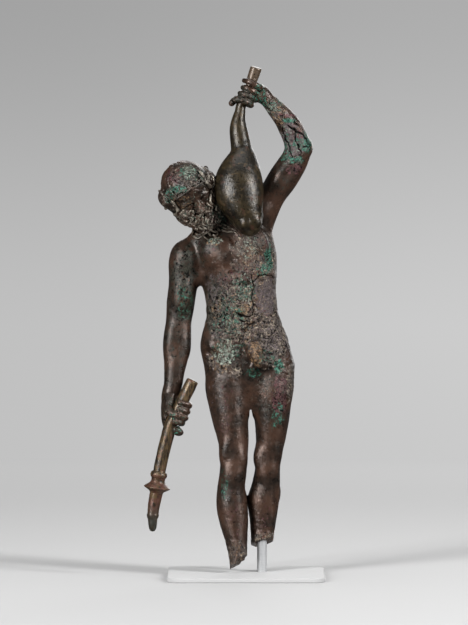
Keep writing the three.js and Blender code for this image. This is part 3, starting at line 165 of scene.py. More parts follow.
def model_trunk(clay):
    clay.limb(TRUNK, 2)
    for side in SHOULDER_GIRDLE.values():
        clay.limb(side, 8)
    clay.limb(FLANKS["stretched_left"], 5)
    clay.limb(FLANKS["right_armpit"], 5)
    clay.limb(FLANKS["right_armpit_fold"], 3)
    clay.limb(BELLY, 5)
    clay.lumps(TRUNK_LUMPS)
    for groove in TRUNK_GROOVES.values():
        clay.limb(groove, 3.5, hollow=True)
    for x, z in BELLY_CREASES:
        half, y, rise, radius = CREASE["half_width"], CREASE["y"], CREASE["rise"], CREASE["radius"]
        ends = [(x + out, y + rise, z + rise, radius) for out in (-half, half)]
        rows = [ends[0], (x, y, z, radius), ends[1]]
        clay.limb(rows, CREASE["softness"], hollow=True)
    clay.lump(*NAVEL, hollow=True)
    cut_cracks(clay, TORSO_CRACKS, sunk=0.1)
    clay.limb(SEX_SHAFT, 1.6)
    clay.lumps(SEX_LUMPS)


# Legs, down to below the breaks

RIGHT_LEG = [
    (-19.0, 0.8, 120, 11.5, 13.0), (-19.2, 0.0, 108, 12.6, 13.8), (-18.7, -1.0, 99, 11.7, 13),
    (-17.6, -2, 88, 10.1, 11.9), (-16.1, -3.2, 77, 8.6, 10.3), (-15.7, -4.2, 67, 7.7, 8.9),
    (-16.2, -5.0, 59, 7.5, 8.2), (-17.2, -4.6, 50, 7.7, 8.0), (-16.9, -4.0, 41, 8.7, 8.9),
    (-15.9, -4.6, 32, 8.1, 8.3), (-14.7, -6, 23, 6.5, 6.8), (-13.6, -7.2, 14, 5.4, 5.6),
    (-12.9, -8, 2, 4.8, 5.2),
]
LEFT_LEG = [
    (7.0, 1.6, 118, 11.3, 13.0), (5.8, 1.2, 106, 11.9, 13.8), (5.4, 0.8, 97, 10.9, 12.9),
    (5.4, 0.4, 87, 9.6, 11.6), (4.8, 0, 77, 8.2, 10), (3.6, 0, 68, 7.4, 8.8), (3.1, 0.2, 60, 7.0, 8.2),
    (2.3, 1.2, 52, 7.8, 8.2), (0.8, 2.2, 42, 8.7, 8.9), (0.6, 1.8, 32, 7.5, 7.9),
    (0.2, 0.9, 22.5, 6.5, 6.7), (0.0, 0.2, 10, 6.1, 6.3),
]
# Hollow that parts the thighs up to the crotch
THIGH_GAP = [(-6.4, 0.5, 93.6, 0.5, 17), (-6.1, 0.5, 89, 1.0, 17), (-5.6, 0, 83, 1.5, 15)]
KNEES = {-1: (-16.2, -10.8, 60), 1: (2.8, -6.0, 60.5)}    # 1 is the left leg
# Lumps of the left leg, placed from its knee. The right leg has their mirror images.
KNEE_LUMPS = {
    "kneecap": ((0, 0.7, 0), (4.6, 2.6, 6.0), NO_TURN, 4),
    "inner_thigh": ((-3.7, 2.6, 8), (3.5, 4.2, 6.5), (0, 12, 0), 3),
    "outer_thigh": ((4.0, 2.2, 12), (3.3, 4.4, 8.5), (0, -10, 0), 3),
}
CALF_LUMPS = {
    "inner": ((-2.8, 14.6, -17), (4.4, 4.0, 9.5), (4, -6, 0), 3),
    "outer": ((3.4, 14.2, -15.5), (4.2, 3.8, 8.5), (4, 6, 0), 3),
}
SHIN_RIDGE = [(0.6, 0.8, -3, 2.2), (1.2, 1.8, -17, 1.8), (2.2, 2.6, -30, 1.4)]
KNEE_HOLLOW = [(-3.2, 16.5, 3, 1.2), (3.2, 16.5, 3, 1.2)]
SHIN_BREAKS = {
    "left": {"at": (0, 0, 18.8), "normal": (0.18, -0.36, -1), "reach": (7.7, 10, 17), "ragged": 0.7},
    "right": {"at": (-12.6, -7.6, 8.9), "normal": (0.72, -0.3, -1), "reach": (9, 10, 14), "ragged": 1.0},
}


def model_knee_and_calf(clay, side, place):
    x, y, z = place
    ridge, hollow = [
        [(x + dx, y + dy, z + dz, radius) for dx, dy, dz, radius in rows]
        for rows in (SHIN_RIDGE, KNEE_HOLLOW)
    ]
    clay.lumps(KNEE_LUMPS, side, place)
    clay.limb(ridge, 3)
    clay.lumps(CALF_LUMPS, side, place)
    clay.limb(hollow, 3, hollow=True)


def model_legs(clay):
    clay.limb(RIGHT_LEG, 2)
    clay.limb(LEFT_LEG, 2)
    clay.limb(THIGH_GAP, 1.0, hollow=True)
    for side, place in KNEES.items():
        model_knee_and_calf(clay, side, place)


# Arms

RIGHT_ARM = [
    (-43.3, 1, 179, 7.2, 8.2), (-44.1, 1.3, 171, 7.7, 8.6), (-44.5, 1.4, 162, 7.9, 8.2),
    (-45.6, 1.6, 153, 7.9, 7.6), (-46.6, 1.8, 144, 7.2, 6.9), (-47.4, 1, 135, 7.3, 6.8),
    (-48.0, 0, 126, 7.2, 6.4), (-48.9, -1.2, 117, 6.0, 5.4), (-49.7, -2.2, 109, 5.3, 4.5),
    (-51.2, -3, 102, 4.8, 3.9),
]
RIGHT_ARM_LUMPS = {
    "deltoid": ((-43.6, 0.6, 177.0), (7.9, 9.2, 10.8), (0, 8, 0), 3.5),
    "biceps": ((-44.6, -4.4, 160), (4.6, 3.6, 11), (0, 4, 0), 3),
    "triceps": ((-45.6, 7.0, 163), (5.2, 3.8, 13), (0, 4, 0), 3),
    "outer_forearm": ((-51.0, -1.4, 133), (3.2, 4.2, 10), (0, 6, 0), 3),
    "inner_forearm": ((-43.7, 0.4, 133), (3.0, 4.2, 9), (0, -4, 0), 3),
    "elbow": ((-47.0, 7.4, 145.5), (3.0, 2.0, 3.4), NO_TURN, 2.5),
}
LEFT_UPPER_ARM = [
    (-1.6, 2, 202, 7.2), (5.0, 1.5, 213, 7.6), (12.0, 1, 223.6, 8.3), (17.7, 1.4, 232.6, 7.7),
    (20.8, 1.6, 239.4, 6.9),
]
LEFT_FOREARM = [
    (20.4, 1.0, 240.6, 6.6, 6.9), (17.2, 0, 248.0, 6.7, 6.7), (12.7, -1.2, 256.2, 6.0, 6.0),
    (7.7, -2.2, 261.9, 5.0, 4.7), (3.9, -2.8, 266.2, 4.3, 4.1), (0.6, -3.0, 269.4, 4.1, 3.9),
]
LEFT_ARM_LUMPS = {
    "deltoid": ((0.6, 1.2, 206.5), (7.0, 9.0, 11.0), (0, 28, 0), 5),
    "biceps": ((8.2, -3.6, 219), (5.0, 4.0, 11.5), (0, 30, 0), 3),
    "triceps": ((12.6, 6.6, 222), (5.2, 3.8, 11), (0, 30, 0), 3),
    "elbow": ((23.0, 3.4, 240.8), (4.6, 4.6, 4.8), NO_TURN, 3),
    "forearm_muscle": ((19.2, -1.8, 250), (3.6, 4.4, 9), (0, -30, 0), 3),
}


def model_arms(clay):
    clay.limb(RIGHT_ARM, 4)
    clay.lumps(RIGHT_ARM_LUMPS)
    clay.limb(LEFT_UPPER_ARM, 4)
    clay.limb(LEFT_FOREARM, 3)
    clay.lumps(LEFT_ARM_LUMPS)


# Hands


class Grip:
    """Points round the thing that is held: along it, round it from 0 at the front to 90 at +X, and away."""

    def __init__(self, top, bottom):
        self.top = Vector(top)
        self.along = (Vector(bottom) - self.top).normalized()
        viewer = Vector((0, -1, 0))
        self.front = (viewer - self.along * viewer.dot(self.along)).normalized()
        self.side = self.front.cross(self.along)
        if self.side.x < 0:
            self.side.negate()

    def at(self, along, turn, away):
        angle = math.radians(turn)
        out = self.front * math.cos(angle) + self.side * math.sin(angle)
        return tuple(self.top + self.along * along + out * away)


RIGHT_GRIP = Grip((-43.2, -8.7, 101.2), (-50.4, -8.7, 86.6))
RIGHT_PALM = [
    (-50.8, -2.8, 103.5, 4.5, 3.8), (-52.7, -3.4, 97, 3.8, 5.2), (-52.9, -4.4, 90, 3.5, 5.4),
    (-52.6, -5.6, 85.4, 2.8, 4.2),
]
RIGHT_PALM_HEEL = [(-51.0, -3.0, 99, 3.6), (-50.6, -3.0, 93, 4.0), (-51.6, -4, 87, 3.4)]
RIGHT_THUMB = [
    (-51.8, -5.8, 100, 3.2), (-52.4, -9.2, 95.4, 2.7), (-50.6, -12.6, 92.4, 2.3),
    (-46.8, -13.6, 91.8, 2.0),
]
# Each finger: how far along the grip it lies, how far round its tip reaches and how far out it lies.
# The bend has steps round the grip with the finger's thickness there.
RIGHT_FINGERS = [(2.6, -12, 4.2), (6.2, 4, 4.8), (9.8, 4, 5.4), (13.2, 8, 5.0)]
RIGHT_FINGER_BEND = [(215, 2.3), (175, 2.1), (135, 2.0), (92, 1.9), (50, 1.9)]
RIGHT_TIP, LEFT_TIP = 1.8, 1.5        # thickness of the finger tips
RIGHT_LITTLE_FINGER = {
    "knuckle": ((-49.0, -9.4, 83.4), (2.6, 2.6, 2.4), NO_TURN, 1.5),
    "tip": ((-46.9, -9.8, 81.9), (3.2, 2.5, 2.4), (0, 14, 0), 1.5),
}
LEFT_GRIP = Grip((-4.4, -4.4, 277.6), (-12.4, -5.0, 262.2))
LEFT_PALM = [(0.8, -2.8, 269.6, 4.1, 3.9), (-1.8, -1.6, 271.0, 4.9, 3.7), (-4.8, -0.2, 270.8, 5.6, 3.2)]
LEFT_PALM_HEEL = [(-0.8, -3.4, 269.6, 2.9), (-4.2, -4.4, 268.8, 2.6), (-7.6, -3.0, 268.4, 2.5)]
LEFT_FINGERS = [(1.4, -80, 5.0), (5.2, -80, 3.9), (8.8, -80, 3.9), (12.2, -92, 4.5)]
LEFT_FINGER_BEND = [(150, 2.0), (105, 1.95), (60, 1.9), (15, 1.8), (-30, 1.7)]
LEFT_POINTING_TIP = [
    (-13.6, -7.6, 267.2, 2.0), (-15.6, -6.2, 266.5, 2.0), (-17.0, -5.6, 265.1, 1.8),
]


def model_fingers(clay, grip, fingers, bend, tip_thickness):
    for along, tip, away in fingers:
        rows = [(*grip.at(along + 0.5, turn, away), thickness) for turn, thickness in bend]
        rows.append((*grip.at(along + 1.0, tip, away), tip_thickness))
        clay.limb(rows, 0.8)


def model_hands(clay):
    clay.limb(RIGHT_PALM, 2)
    clay.limb(RIGHT_PALM_HEEL, 2)
    model_fingers(clay, RIGHT_GRIP, RIGHT_FINGERS, RIGHT_FINGER_BEND, RIGHT_TIP)
    clay.limb(RIGHT_THUMB, 1.2)
    clay.lumps(RIGHT_LITTLE_FINGER)
    clay.limb(LEFT_PALM, 2)
    clay.limb(LEFT_PALM_HEEL, 2)
    model_fingers(clay, LEFT_GRIP, LEFT_FINGERS, LEFT_FINGER_BEND, LEFT_TIP)
    clay.limb(LEFT_POINTING_TIP, 0.8)


# Head, in its own frame: x to the figure's left, -y out of the face, z up through the crown


def turned(place, turn):
    return Matrix.Translation(place) @ Euler([math.radians(a) for a in turn], "XYZ").to_matrix().to_4x4()


HEAD_PLACE = (-41.6, -13.5, 217.8)
HEAD_LEAN = -31      # towards the right shoulder
HEAD_BOW = 27        # chin to the chest
HEAD_TURN = 6
HEAD = turned(HEAD_PLACE, (0, HEAD_LEAN, 0)) @ turned(NO_TURN, (HEAD_BOW, 0, HEAD_TURN))
NECK = [(-21.5, 1.5, 197, 8.6), (-28, -1.8, 204.5, 8.0), (-36, -7, 210.5, 8.0)]
SKULL_LUMPS = {
    "dome": ((0, 1.2, 2.6), (13.3, 14.8, 12.8), NO_TURN, 3),
    "face": ((0, -3.5, -4.5), (10.2, 9.6, 13.0), NO_TURN, 4),
    "back": ((0, 5.5, -4.0), (11.8, 9.8, 9.5), NO_TURN, 4),
    "forehead": ((0, -11.2, 3.6), (8.6, 3.0, 4.6), NO_TURN, 3),
    "right_brow": ((-4.3, -12.0, -1.2), (4.4, 2.3, 1.5), (0, -8, 0), 1.5),
    "left_brow": ((4.3, -12.0, -1.2), (4.4, 2.3, 1.5), (0, 8, 0), 1.5),
    "beard_mass": ((0, -8.2, -15.0), (9.2, 6.4, 7.0), NO_TURN, 3),
    "beard_point": ((0, -9.2, -20.4), (6.4, 4.8, 5.4), NO_TURN, 3),
    "right_temple_hair": ((-12.4, -2.0, -2.6), (2.8, 5.5, 5.0), NO_TURN, 2),
    "left_temple_hair": ((12.4, -2.0, -2.6), (2.6, 5.5, 5.0), NO_TURN, 2),
    "right_hair_roll": ((-13.6, -1.5, 2.0), (3.9, 6.8, 4.6), NO_TURN, 3),
    "left_hair_roll": ((11.6, -1.5, 0.6), (2.6, 7.0, 4.0), NO_TURN, 3),
}
SIDE_BEARD = ((8.6, -3.6, -11.0), (3.8, 5.6, 6.6), NO_TURN, 3)
# Lumps of the left side of the face, and its eyelids. True hollows a lump out.
EYE = {
    "socket": ((4.4, -12.6, -4.2), (2.9, 1.9, 1.7), NO_TURN, 1.5, True),
    "ball": ((4.4, -11.3, -4.2), (2.3, 1.5, 1.3), NO_TURN, 0.6),
}
EYELIDS = {
    "upper": [(2.0, -12.0, -4.6, 0.35), (4.4, -13.0, -3.1, 0.42), (6.9, -11.6, -4.3, 0.35)],
    "lower": [(2.2, -12.0, -4.9, 0.3), (4.4, -12.6, -5.6, 0.36), (6.7, -11.6, -4.6, 0.3)],
}
CHEEK_AND_EAR = {
    "cheek": ((6.6, -9.4, -8.6), (3.6, 3.4, 3.2), NO_TURN, 2),
    "nostril": ((1.8, -14.4, -8.6), (1.4, 1.5, 1.2), NO_TURN, 0.8),
    "ear": ((12.4, 2.6, -5.2), (1.7, 3.0, 3.8), (0, 14, -24), 1),
    "ear_tip": ((13.2, 3.6, -1.6), (1.2, 1.8, 2.6), (-24, 20, -24), 0.8),
    "ear_hollow": ((13.9, 1.6, -5.2), (1.0, 1.7, 2.2), (0, 14, -24), 0.6, True),
}
NOSE = [(0, -12.8, -2.2, 1.3), (0, -14.6, -5.6, 1.5), (0, -16.0, -8.4, 1.9)]
MOUTH = {
    "opening": ((0, -14.2, -13.0), (2.1, 1.5, 0.9), NO_TURN, 0.6, True),
    "lower_lip": ((0, -13.6, -14.6), (1.9, 1.3, 0.9), NO_TURN, 0.6),
}


def model_face(head):
    for side in (-1, 1):
        head.lumps(EYE, side)
        for lid in EYELIDS.values():
            head.limb(lid, 0.4, mirror=side)
        head.lumps(CHEEK_AND_EAR, side)
    head.limb(NOSE, 1.5)
    head.lumps(MOUTH)


# Strokes of the comb on the crown, which start and end so many degrees from its top
COMBED = {
    "strokes": 46, "radius": 0.22, "softness": 0.5, "twist": 22, "waves": 5,
    "from": 16, "to": 98, "steps": 9,
}


def comb_crown(clay):
    """Shallow strokes that run over the skin from the crown down past the fillet."""
    middle, sizes, _, _ = SKULL_LUMPS["dome"]
    for n in range(COMBED["strokes"]):
        rows = []
        for share in np.linspace(0, 1, COMBED["steps"]):
            down = math.radians(COMBED["from"] + (COMBED["to"] - COMBED["from"]) * share)
            sway = COMBED["twist"] * math.sin(share * COMBED["waves"] + n)
            turn = math.radians(360 * n / COMBED["strokes"] + sway)
            out = (math.sin(down) * math.sin(turn), -math.sin(down) * math.cos(turn), math.cos(down))
            start = HEAD @ Vector([m + s * o for m, s, o in zip(middle, sizes, out)])
            place, _ = clay.on_skin(start)
            rows.append((*place, COMBED["radius"]))
        clay.limb(rows, COMBED["softness"], hollow=True)


def model_skull(clay):
    clay.limb(NECK, 5)
    head = clay.within(HEAD)
    head.lumps(SKULL_LUMPS)
    comb_crown(clay)
    for side in (-1, 1):
        head.lumps({"beard": SIDE_BEARD}, side)
    model_face(head)


# Hair and beard: long wavy strands down the beard, short hooked locks round the sides and the nape.
# Each starts from a rough curve and is brought onto the skin, lifted by a share of its thickness.

BEARD_PROFILE = [                    # height, half width and depth of the beard's mass there
    (-8.0, 10.3, 11.2), (-13.8, 10.9, 12.3), (-18.2, 9.9, 12.8), (-22.6, 7.6, 12.4), (-27.0, 4.6, 11.0),
]
BEARD_MIDDLE_Y = -2
BEARD_LAYERS = [                     # strands, their spread in degrees, lift, thickness, phase
    {"strands": 20, "spread": 124, "lift": 0.3, "thickness": 0.66, "phase": 0.0},
    {"strands": 15, "spread": 112, "lift": 1.2, "thickness": 0.58, "phase": 2.6},
]
# Swing in degrees, mm of one wave, rows of a strand, shift from strand to strand in radians
BEARD_WAVE = {"turn": 5.0, "length": 6.0, "rows": 13, "shift": 1.1}
BEARD_START = {"side": -7.0, "middle": -15.2, "mouth": 34}
BEARD_END = -24.6
MOUSTACHE = [
    (0.9, -15.2, -10.6, 0.8), (3.4, -14.9, -11.8, 1.0), (6.0, -13.4, -14.2, 0.95),
    (8.0, -11.6, -17.2, 0.8), (8.0, -10.6, -20.0, 0.65), (9.2, -8.6, -22.2, 0.4),
]
MOUSTACHE_SECOND = [
    (0.9, -14.4, -11.8, 0.6), (3.6, -14.3, -13.2, 0.8), (5.6, -13.4, -16.0, 0.8),
    (6.0, -13.0, -18.8, 0.65), (7.2, -11.8, -21.4, 0.4),
]
LOCK_DROP = 5.0
FRINGE_ROWS = [
    {"z": 1.4, "reach": 13.6, "locks": 22, "thickness": 0.95},
    {"z": -2.6, "reach": 12.9, "locks": 20, "thickness": 1.15},
    {"z": -6.6, "reach": 12.2, "locks": 18, "thickness": 1.15},
    {"z": -10.6, "reach": 10.8, "locks": 14, "thickness": 1.1},
]
FRINGE_FROM = 48          # degrees from the brow
FRINGE_MIDDLE_Y = 1.5
FRINGE_DEEPER = 1.08
FRINGE_LIFT = 0.45
CURL = {"hook": 1.7, "second": 0.62}
# Wavy ends of the beard on the chest: x and z as seen from the front, thickness
CHEST_LOCKS = [
    [
        (-28.7, 195.2, 0.7), (-26.9, 194.5, 0.75), (-25.5, 193.4, 0.7), (-25.0, 192.0, 0.6),
        (-25.4, 190.7, 0.4),
    ],
    [
        (-25.2, 195.9, 0.7), (-24.1, 194.5, 0.75), (-22.3, 194.3, 0.7), (-20.9, 193.5, 0.7),
        (-18.8, 193.1, 0.65),
        (-16.3, 193.3, 0.55), (-13.8, 192.4, 0.35),
    ],
    [
        (-25.6, 198.2, 0.7), (-23.8, 197.3, 0.75), (-22.0, 197.7, 0.7), (-20.6, 196.9, 0.6),
        (-18.8, 196.3, 0.4),
    ],
    [
        (-29.2, 195.6, 0.7), (-31.0, 194.2, 0.7), (-33.0, 193.9, 0.7), (-34.0, 192.5, 0.6),
        (-36.0, 192.2, 0.4),
    ],
    [
        (-40.4, 196.5, 0.7), (-39.3, 194.5, 0.75), (-37.2, 193.6, 0.7), (-36.2, 191.9, 0.6),
        (-33.7, 191.6, 0.4),
    ],
    [
        (-39.8, 193.5, 0.6), (-37.8, 192.2, 0.7), (-37.1, 190.2, 0.7), (-35.1, 189.4, 0.6),
        (-33.5, 190.4, 0.4),
    ],
    [
        (-37.8, 196.8, 0.7), (-35.8, 195.8, 0.75), (-35.3, 193.8, 0.7), (-32.9, 193.1, 0.6),
        (-31.9, 191.5, 0.4),
    ],
    [(-32.5, 193.5, 0.7), (-31.0, 192.0, 0.7), (-31.4, 190.2, 0.6), (-30.0, 189.1, 0.4)],
    [
        (-29.7, 193.5, 0.7), (-28.3, 191.7, 0.7), (-26.6, 191.2, 0.65), (-25.6, 189.8, 0.55),
        (-23.7, 190.1, 0.35),
    ],
    [(-22.6, 196.6, 0.65), (-20.2, 194.9, 0.65), (-17.4, 195.0, 0.6), (-14.2, 193.8, 0.35)],
    [
        (-42.3, 198.0, 0.7), (-41.8, 196.0, 0.7), (-40.0, 194.5, 0.65), (-40.1, 192.4, 0.5),
        (-39.0, 191.2, 0.35),
    ],
    [(-35.3, 197.4, 0.7), (-33.5, 195.9, 0.7), (-31.4, 196.2, 0.65), (-29.9, 194.7, 0.5)],
]
CHEST_LOCK_LIFT = 0.9
# Two blades of a leaf that stands up at the left temple, as seen from the front
TEMPLE_LEAF = [
    [(-35.8, 226.8, 0.4), (-34.2, 223.8, 0.9), (-32.5, 220.6, 0.6)],
    [(-32.5, 220.6, 0.6), (-30.9, 222.8, 0.85), (-29.0, 224.9, 0.4)],
]
TEMPLE_LEAF_LIFT = 1.6


def lay_strand(clay, body, rows, lift, frame=HEAD):
    """Adds a strand that follows the skin of the body."""
    placed = []
    for x, y, z, thickness in rows:
        place, _ = body.on_skin(frame @ Vector((x, y, z)), lift * thickness)
        placed.append((*place, thickness))
    clay.limb(placed, 0.15)


def beard_point(turn, height):
    heights, wides, deeps = zip(*BEARD_PROFILE)
    wide = np.interp(-height, [-value for value in heights], wides)
    deep = np.interp(-height, [-value for value in heights], deeps)
    angle = math.radians(turn)
    return wide * math.sin(angle), BEARD_MIDDLE_Y - deep * math.cos(angle), height


def beard_strand(layer, n):
    """Rows of one strand, which starts on the cheek or under the mouth and narrows to the beard's end."""
    across = (n + 0.5) / layer["strands"] * 2 - 1
    side_share = min(abs(across) * layer["spread"] / BEARD_START["mouth"], 1)
    top = BEARD_START["middle"] + (BEARD_START["side"] - BEARD_START["middle"]) * side_share
    end = BEARD_END + 5 * across * across
    rows = []
    for height in np.linspace(top, end, BEARD_WAVE["rows"]):
        share = (height - top) / (end - top)
        phase = 2 * math.pi * height / BEARD_WAVE["length"] + layer["phase"] + BEARD_WAVE["shift"] * n
        swing = BEARD_WAVE["turn"] * math.sin(phase)
        turn = across * layer["spread"] * (1 - 0.25 * share) + swing
        thickness = layer["thickness"] * (1 - 0.45 * share ** 3)
        rows.append((*beard_point(turn, height), thickness))
    return rows


def model_beard(clay, body):
    for layer in BEARD_LAYERS:
        for n in range(layer["strands"]):
            lay_strand(clay, body, beard_strand(layer, n), layer["lift"])
    for rows in (MOUSTACHE, MOUSTACHE_SECOND):
        for side in (-1, 1):
            lay_strand(clay, body, [(side * x, y, z, thickness) for x, y, z, thickness in rows], 0.3)


def model_fringe(clay, body):
    for row, kind in enumerate(FRINGE_ROWS):
        for n in range(kind["locks"]):
            along = (360 - 2 * FRINGE_FROM) * (n + 0.5 * (row % 2)) / kind["locks"]
            angle = math.radians(FRINGE_FROM + along)
            hook = (1 if (n + row) % 2 else -1) * CURL["hook"]
            x = kind["reach"] * math.sin(angle)
            y = FRINGE_MIDDLE_Y - kind["reach"] * FRINGE_DEEPER * math.cos(angle)
            z = kind["z"]
            ax, ay = hook * math.cos(angle), hook * math.sin(angle)
            thick = kind["thickness"]
            for inner, drop in ((1.0, 1.0), (CURL["second"], 0.72)):
                lay_strand(clay, body, [
                    (x - 0.3 * ax, y - 0.3 * ay, z + LOCK_DROP * 0.5, thick * 0.6),
                    (x + ax * inner, y + ay * inner, z + LOCK_DROP * 0.1, thick * 0.8),
                    (x + ax * 0.5 * inner, y + ay * 0.5 * inner, z - LOCK_DROP * 0.5 * drop, thick * 0.75),
                    (x - ax * 0.8 * inner, y - ay * 0.8 * inner, z - LOCK_DROP * 0.62 * drop, thick * 0.55),
                    (x - ax * 0.6 * inner, y - ay * 0.6 * inner, z - LOCK_DROP * 0.3 * drop, thick * 0.35),
                ], FRINGE_LIFT)


def laid_on(body, rows, sunk):
    """Rows of x, z and thickness, laid on the front of the body."""
    out = []
    for x, z, thickness in rows:
        column = body.field[body.index(0, x), :, body.index(2, z)]
        front = body.axes[1][np.argmax(column < 0)]
        out.append((x, float(front) + thickness * sunk, z, thickness))
    return out


CRACK_SEED = 8
CRACK_WANDER = 0.16       # how far a crack strays to the side, as a share of each of its steps
CRACK_WIDTHS = (0.5, 1.15)    # least and most of its width between its rows, as shares


def wandering(crack):
    """Rows of a crack with two more in each step, set off to the side and narrowed by chance."""
    random = np.random.default_rng(CRACK_SEED)
    rows = []
    for start, end in zip(np.array(crack), np.array(crack[1:])):
        side = np.array((start[1] - end[1], end[0] - start[0], 0)) * CRACK_WANDER
        rows.append(start)
        for share in (0.33, 0.67):
            row = start + share * (end - start) + random.uniform(-1, 1) * side
            row[2] *= random.uniform(*CRACK_WIDTHS)
            rows.append(row)
    return rows + [np.array(crack[-1])]


def model_hair(clay, body):
    model_beard(clay, body)
    model_fringe(clay, body)
    for lock in CHEST_LOCKS:
        lay_strand(clay, body, laid_on(body, lock, 0), CHEST_LOCK_LIFT, Matrix.Identity(4))
    for blade in TEMPLE_LEAF:
        lay_strand(clay, body, laid_on(body, blade, 0), TEMPLE_LEAF_LIFT, Matrix.Identity(4))


# Wreath: a fillet of two cords round the head, ivy leaves, berries over each temple and buds at the brow

FILLET = {
    "wide": 13.6, "deep": 14.6, "middle_y": 1.1, "height": 1.2, "rise": 5.2, "dip": 1.6,
    "apart": 0.8, "thickness": 0.55, "lift": 1.0,
}
# Angle of each leaf on the fillet and its lean from the head's up to its left, in degrees, and its size
LEAVES = [
    (-156, 160, 0.9), (-130, 20, 0.95), (-106, 200, 0.9), (-92, -35, 1.1), (-70, 10, 1.1),
    (-58, 165, 0.9), (-42, -20, 0.95), (36, -2, 0.85), (41, 62, 0.9), (66, 40, 1), (84, 200, 0.9),
    (104, -20, 1), (128, 160, 0.9), (152, 10, 0.95), (178, 190, 0.9),
]
LEAF_LIFT = 0.8
LEAF = {
    "blade": (1.9, 0.62, 3.3), "blade_along": 2.2,
    "lobe": (1.9, 0.6, 1.4), "lobe_across": 1.9, "lobe_turn": 28, "softness": 0.4,
}
VEIN = {"tips": [(0, 5.0), (-3.2, 2.2), (3.2, 2.2)], "rows": (0, 0.5, 0.9), "out": -0.72, "radius": 0.16}
BERRIES = {"count": 9, "radius": 1.3, "spacing": 1.15, "turn": 2.4, "softness": 0.15}
BERRY_PLACES = [{"angle": -77, "out": 3.9, "drop": 0.3}, {"angle": 72, "out": 1.6, "drop": 1.2}]
BUD_ANGLES = (-14, 0, 14)


def on_fillet(degrees, out=0):
    """Point on the fillet: 0 is the brow, 90 the figure's left temple."""
    angle = math.radians(degrees)
    return (
        (FILLET["wide"] + out) * math.sin(angle),
        FILLET["middle_y"] - (FILLET["deep"] + out) * math.cos(angle),
        FILLET["height"] + FILLET["rise"] * math.cos(angle) - FILLET["dip"] * math.sin(angle) ** 2,
    )


def leaf_frame(body, degrees, lean):
    """Frame on the skin at the fillet: -y points away from the head and z along the leaf."""
    place, out = body.on_skin(HEAD @ Vector(on_fillet(degrees)), LEAF_LIFT)
    out = Vector(out)
    up = HEAD.to_3x3() @ Vector((0, 0, 1))
    up = (up - out * up.dot(out)).normalized()
    along = up * math.cos(math.radians(lean)) + up.cross(out) * math.sin(math.radians(lean))
    turn = Matrix((along.cross(out), -out, along)).transposed().to_4x4()
    return Matrix.Translation(Vector(place)) @ turn


def model_leaf(leaf, scale):
    blade, lobe = ([size * scale for size in LEAF[part]] for part in ("blade", "lobe"))
    leaf.lump((0, 0, LEAF["blade_along"] * scale), blade, NO_TURN, LEAF["softness"])
    for side in (-1, 1):
        place = (side * LEAF["lobe_across"] * scale, 0, scale)
        leaf.lump(place, lobe, (0, side * LEAF["lobe_turn"], 0), LEAF["softness"])
    for x, z in VEIN["tips"]:
        out = VEIN["out"] * scale
        rows = [(share * (x * scale), out, share * (z * scale), VEIN["radius"]) for share in VEIN["rows"]]
        leaf.limb(rows, 0.3, hollow=True)


def model_wreath(clay, body):
    head = clay.within(HEAD)
    for rise in (-FILLET["apart"], FILLET["apart"]):
        ring = [on_fillet(angle) for angle in range(0, 361, 12)]
        rows = [(x, y, z + rise, FILLET["thickness"]) for x, y, z in ring]
        lay_strand(clay, body, rows, FILLET["lift"])
    for degrees, lean, scale in LEAVES:
        model_leaf(clay.within(leaf_frame(body, degrees, lean)), scale)
    for place in BERRY_PLACES:
        for n in range(BERRIES["count"]):
            away = BERRIES["spacing"] * math.sqrt(n)
            turn = n * BERRIES["turn"]
            x, y, z = on_fillet(place["angle"] + 6 * away * math.cos(turn), place["out"])
            middle = (x, y, z - place["drop"] + away * math.sin(turn))
            head.lump(middle, (BERRIES["radius"],) * 3, NO_TURN, BERRIES["softness"])
    for angle in BUD_ANGLES:
        head.lump(on_fillet(angle, 0.6), (1.2, 0.9, 1.5), (0, 2 * angle, 0), 0.3)


# Wineskin: neck stub above the fist, neck, full belly and two knotted leg stumps below

WINESKIN = [
    (-3.4, -3.9, 284.6, 3.3, 3.3), (-5.2, -4.0, 279.4, 3.1, 3.1), (-6.5, -4.2, 274.4, 2.9, 2.9),
    (-9.2, -4.6, 268.8, 2.8, 2.8), (-11.7, -5.0, 263.8, 2.8, 2.8), (-12.3, -5.3, 260, 3.1, 3.1),
    (-13.1, -5.8, 255.6, 3.9, 3.8), (-13.2, -6.5, 251, 4.9, 4.5), (-12.6, -7.4, 246.6, 5.4, 5.0),
    (-11.9, -8.4, 242.2, 5.7, 5.3), (-11.3, -9.6, 237.8, 6.3, 5.8), (-11.2, -11.0, 233.3, 8.2, 7.1),
    (-12.0, -12.6, 228.8, 10.4, 8.7), (-12.7, -14.2, 224.4, 12.3, 10.0), (-13.1, -15.6, 220, 13.5, 10.8),
    (-12.7, -16.8, 215.6, 13.5, 10.9), (-11.6, -17.7, 211, 12.2, 10.2), (-10.2, -18.4, 206.6, 10.5, 9.2),
    (-8.5, -18.8, 202, 8.9, 8.0), (-7.3, -19.0, 198.2, 7.0, 6.6), (-6.6, -19.1, 195.8, 4.6, 4.6),
]
SKIN_STUMPS = [
    ((-9.4, -24.6, 198.4), (2.8, 2.6, 3.4), (0, 12, 0), 2),
    ((-3.2, -23.6, 199.2), (2.2, 2.1, 3.2), (0, -14, 0), 2),
]
SKIN_MOUTH = {"at": (-3.4, -3.9, 285.2), "normal": (0.26, -0.12, 1), "reach": (8, 8, 8)}


def model_wineskin(clay, grow=0, hollow=False):
    softness = 0.2 if hollow else 0.5
    clay.limb([(x, y, z, wide + grow, deep + grow) for x, y, z, wide, deep in WINESKIN], softness, hollow)
    for place, sizes, turn, soft in SKIN_STUMPS:
        clay.lump(place, [size + grow for size in sizes], turn, softness if hollow else soft, hollow)


# Torch: shaft with a slight bow, bead, flange, tapering head and flame tip

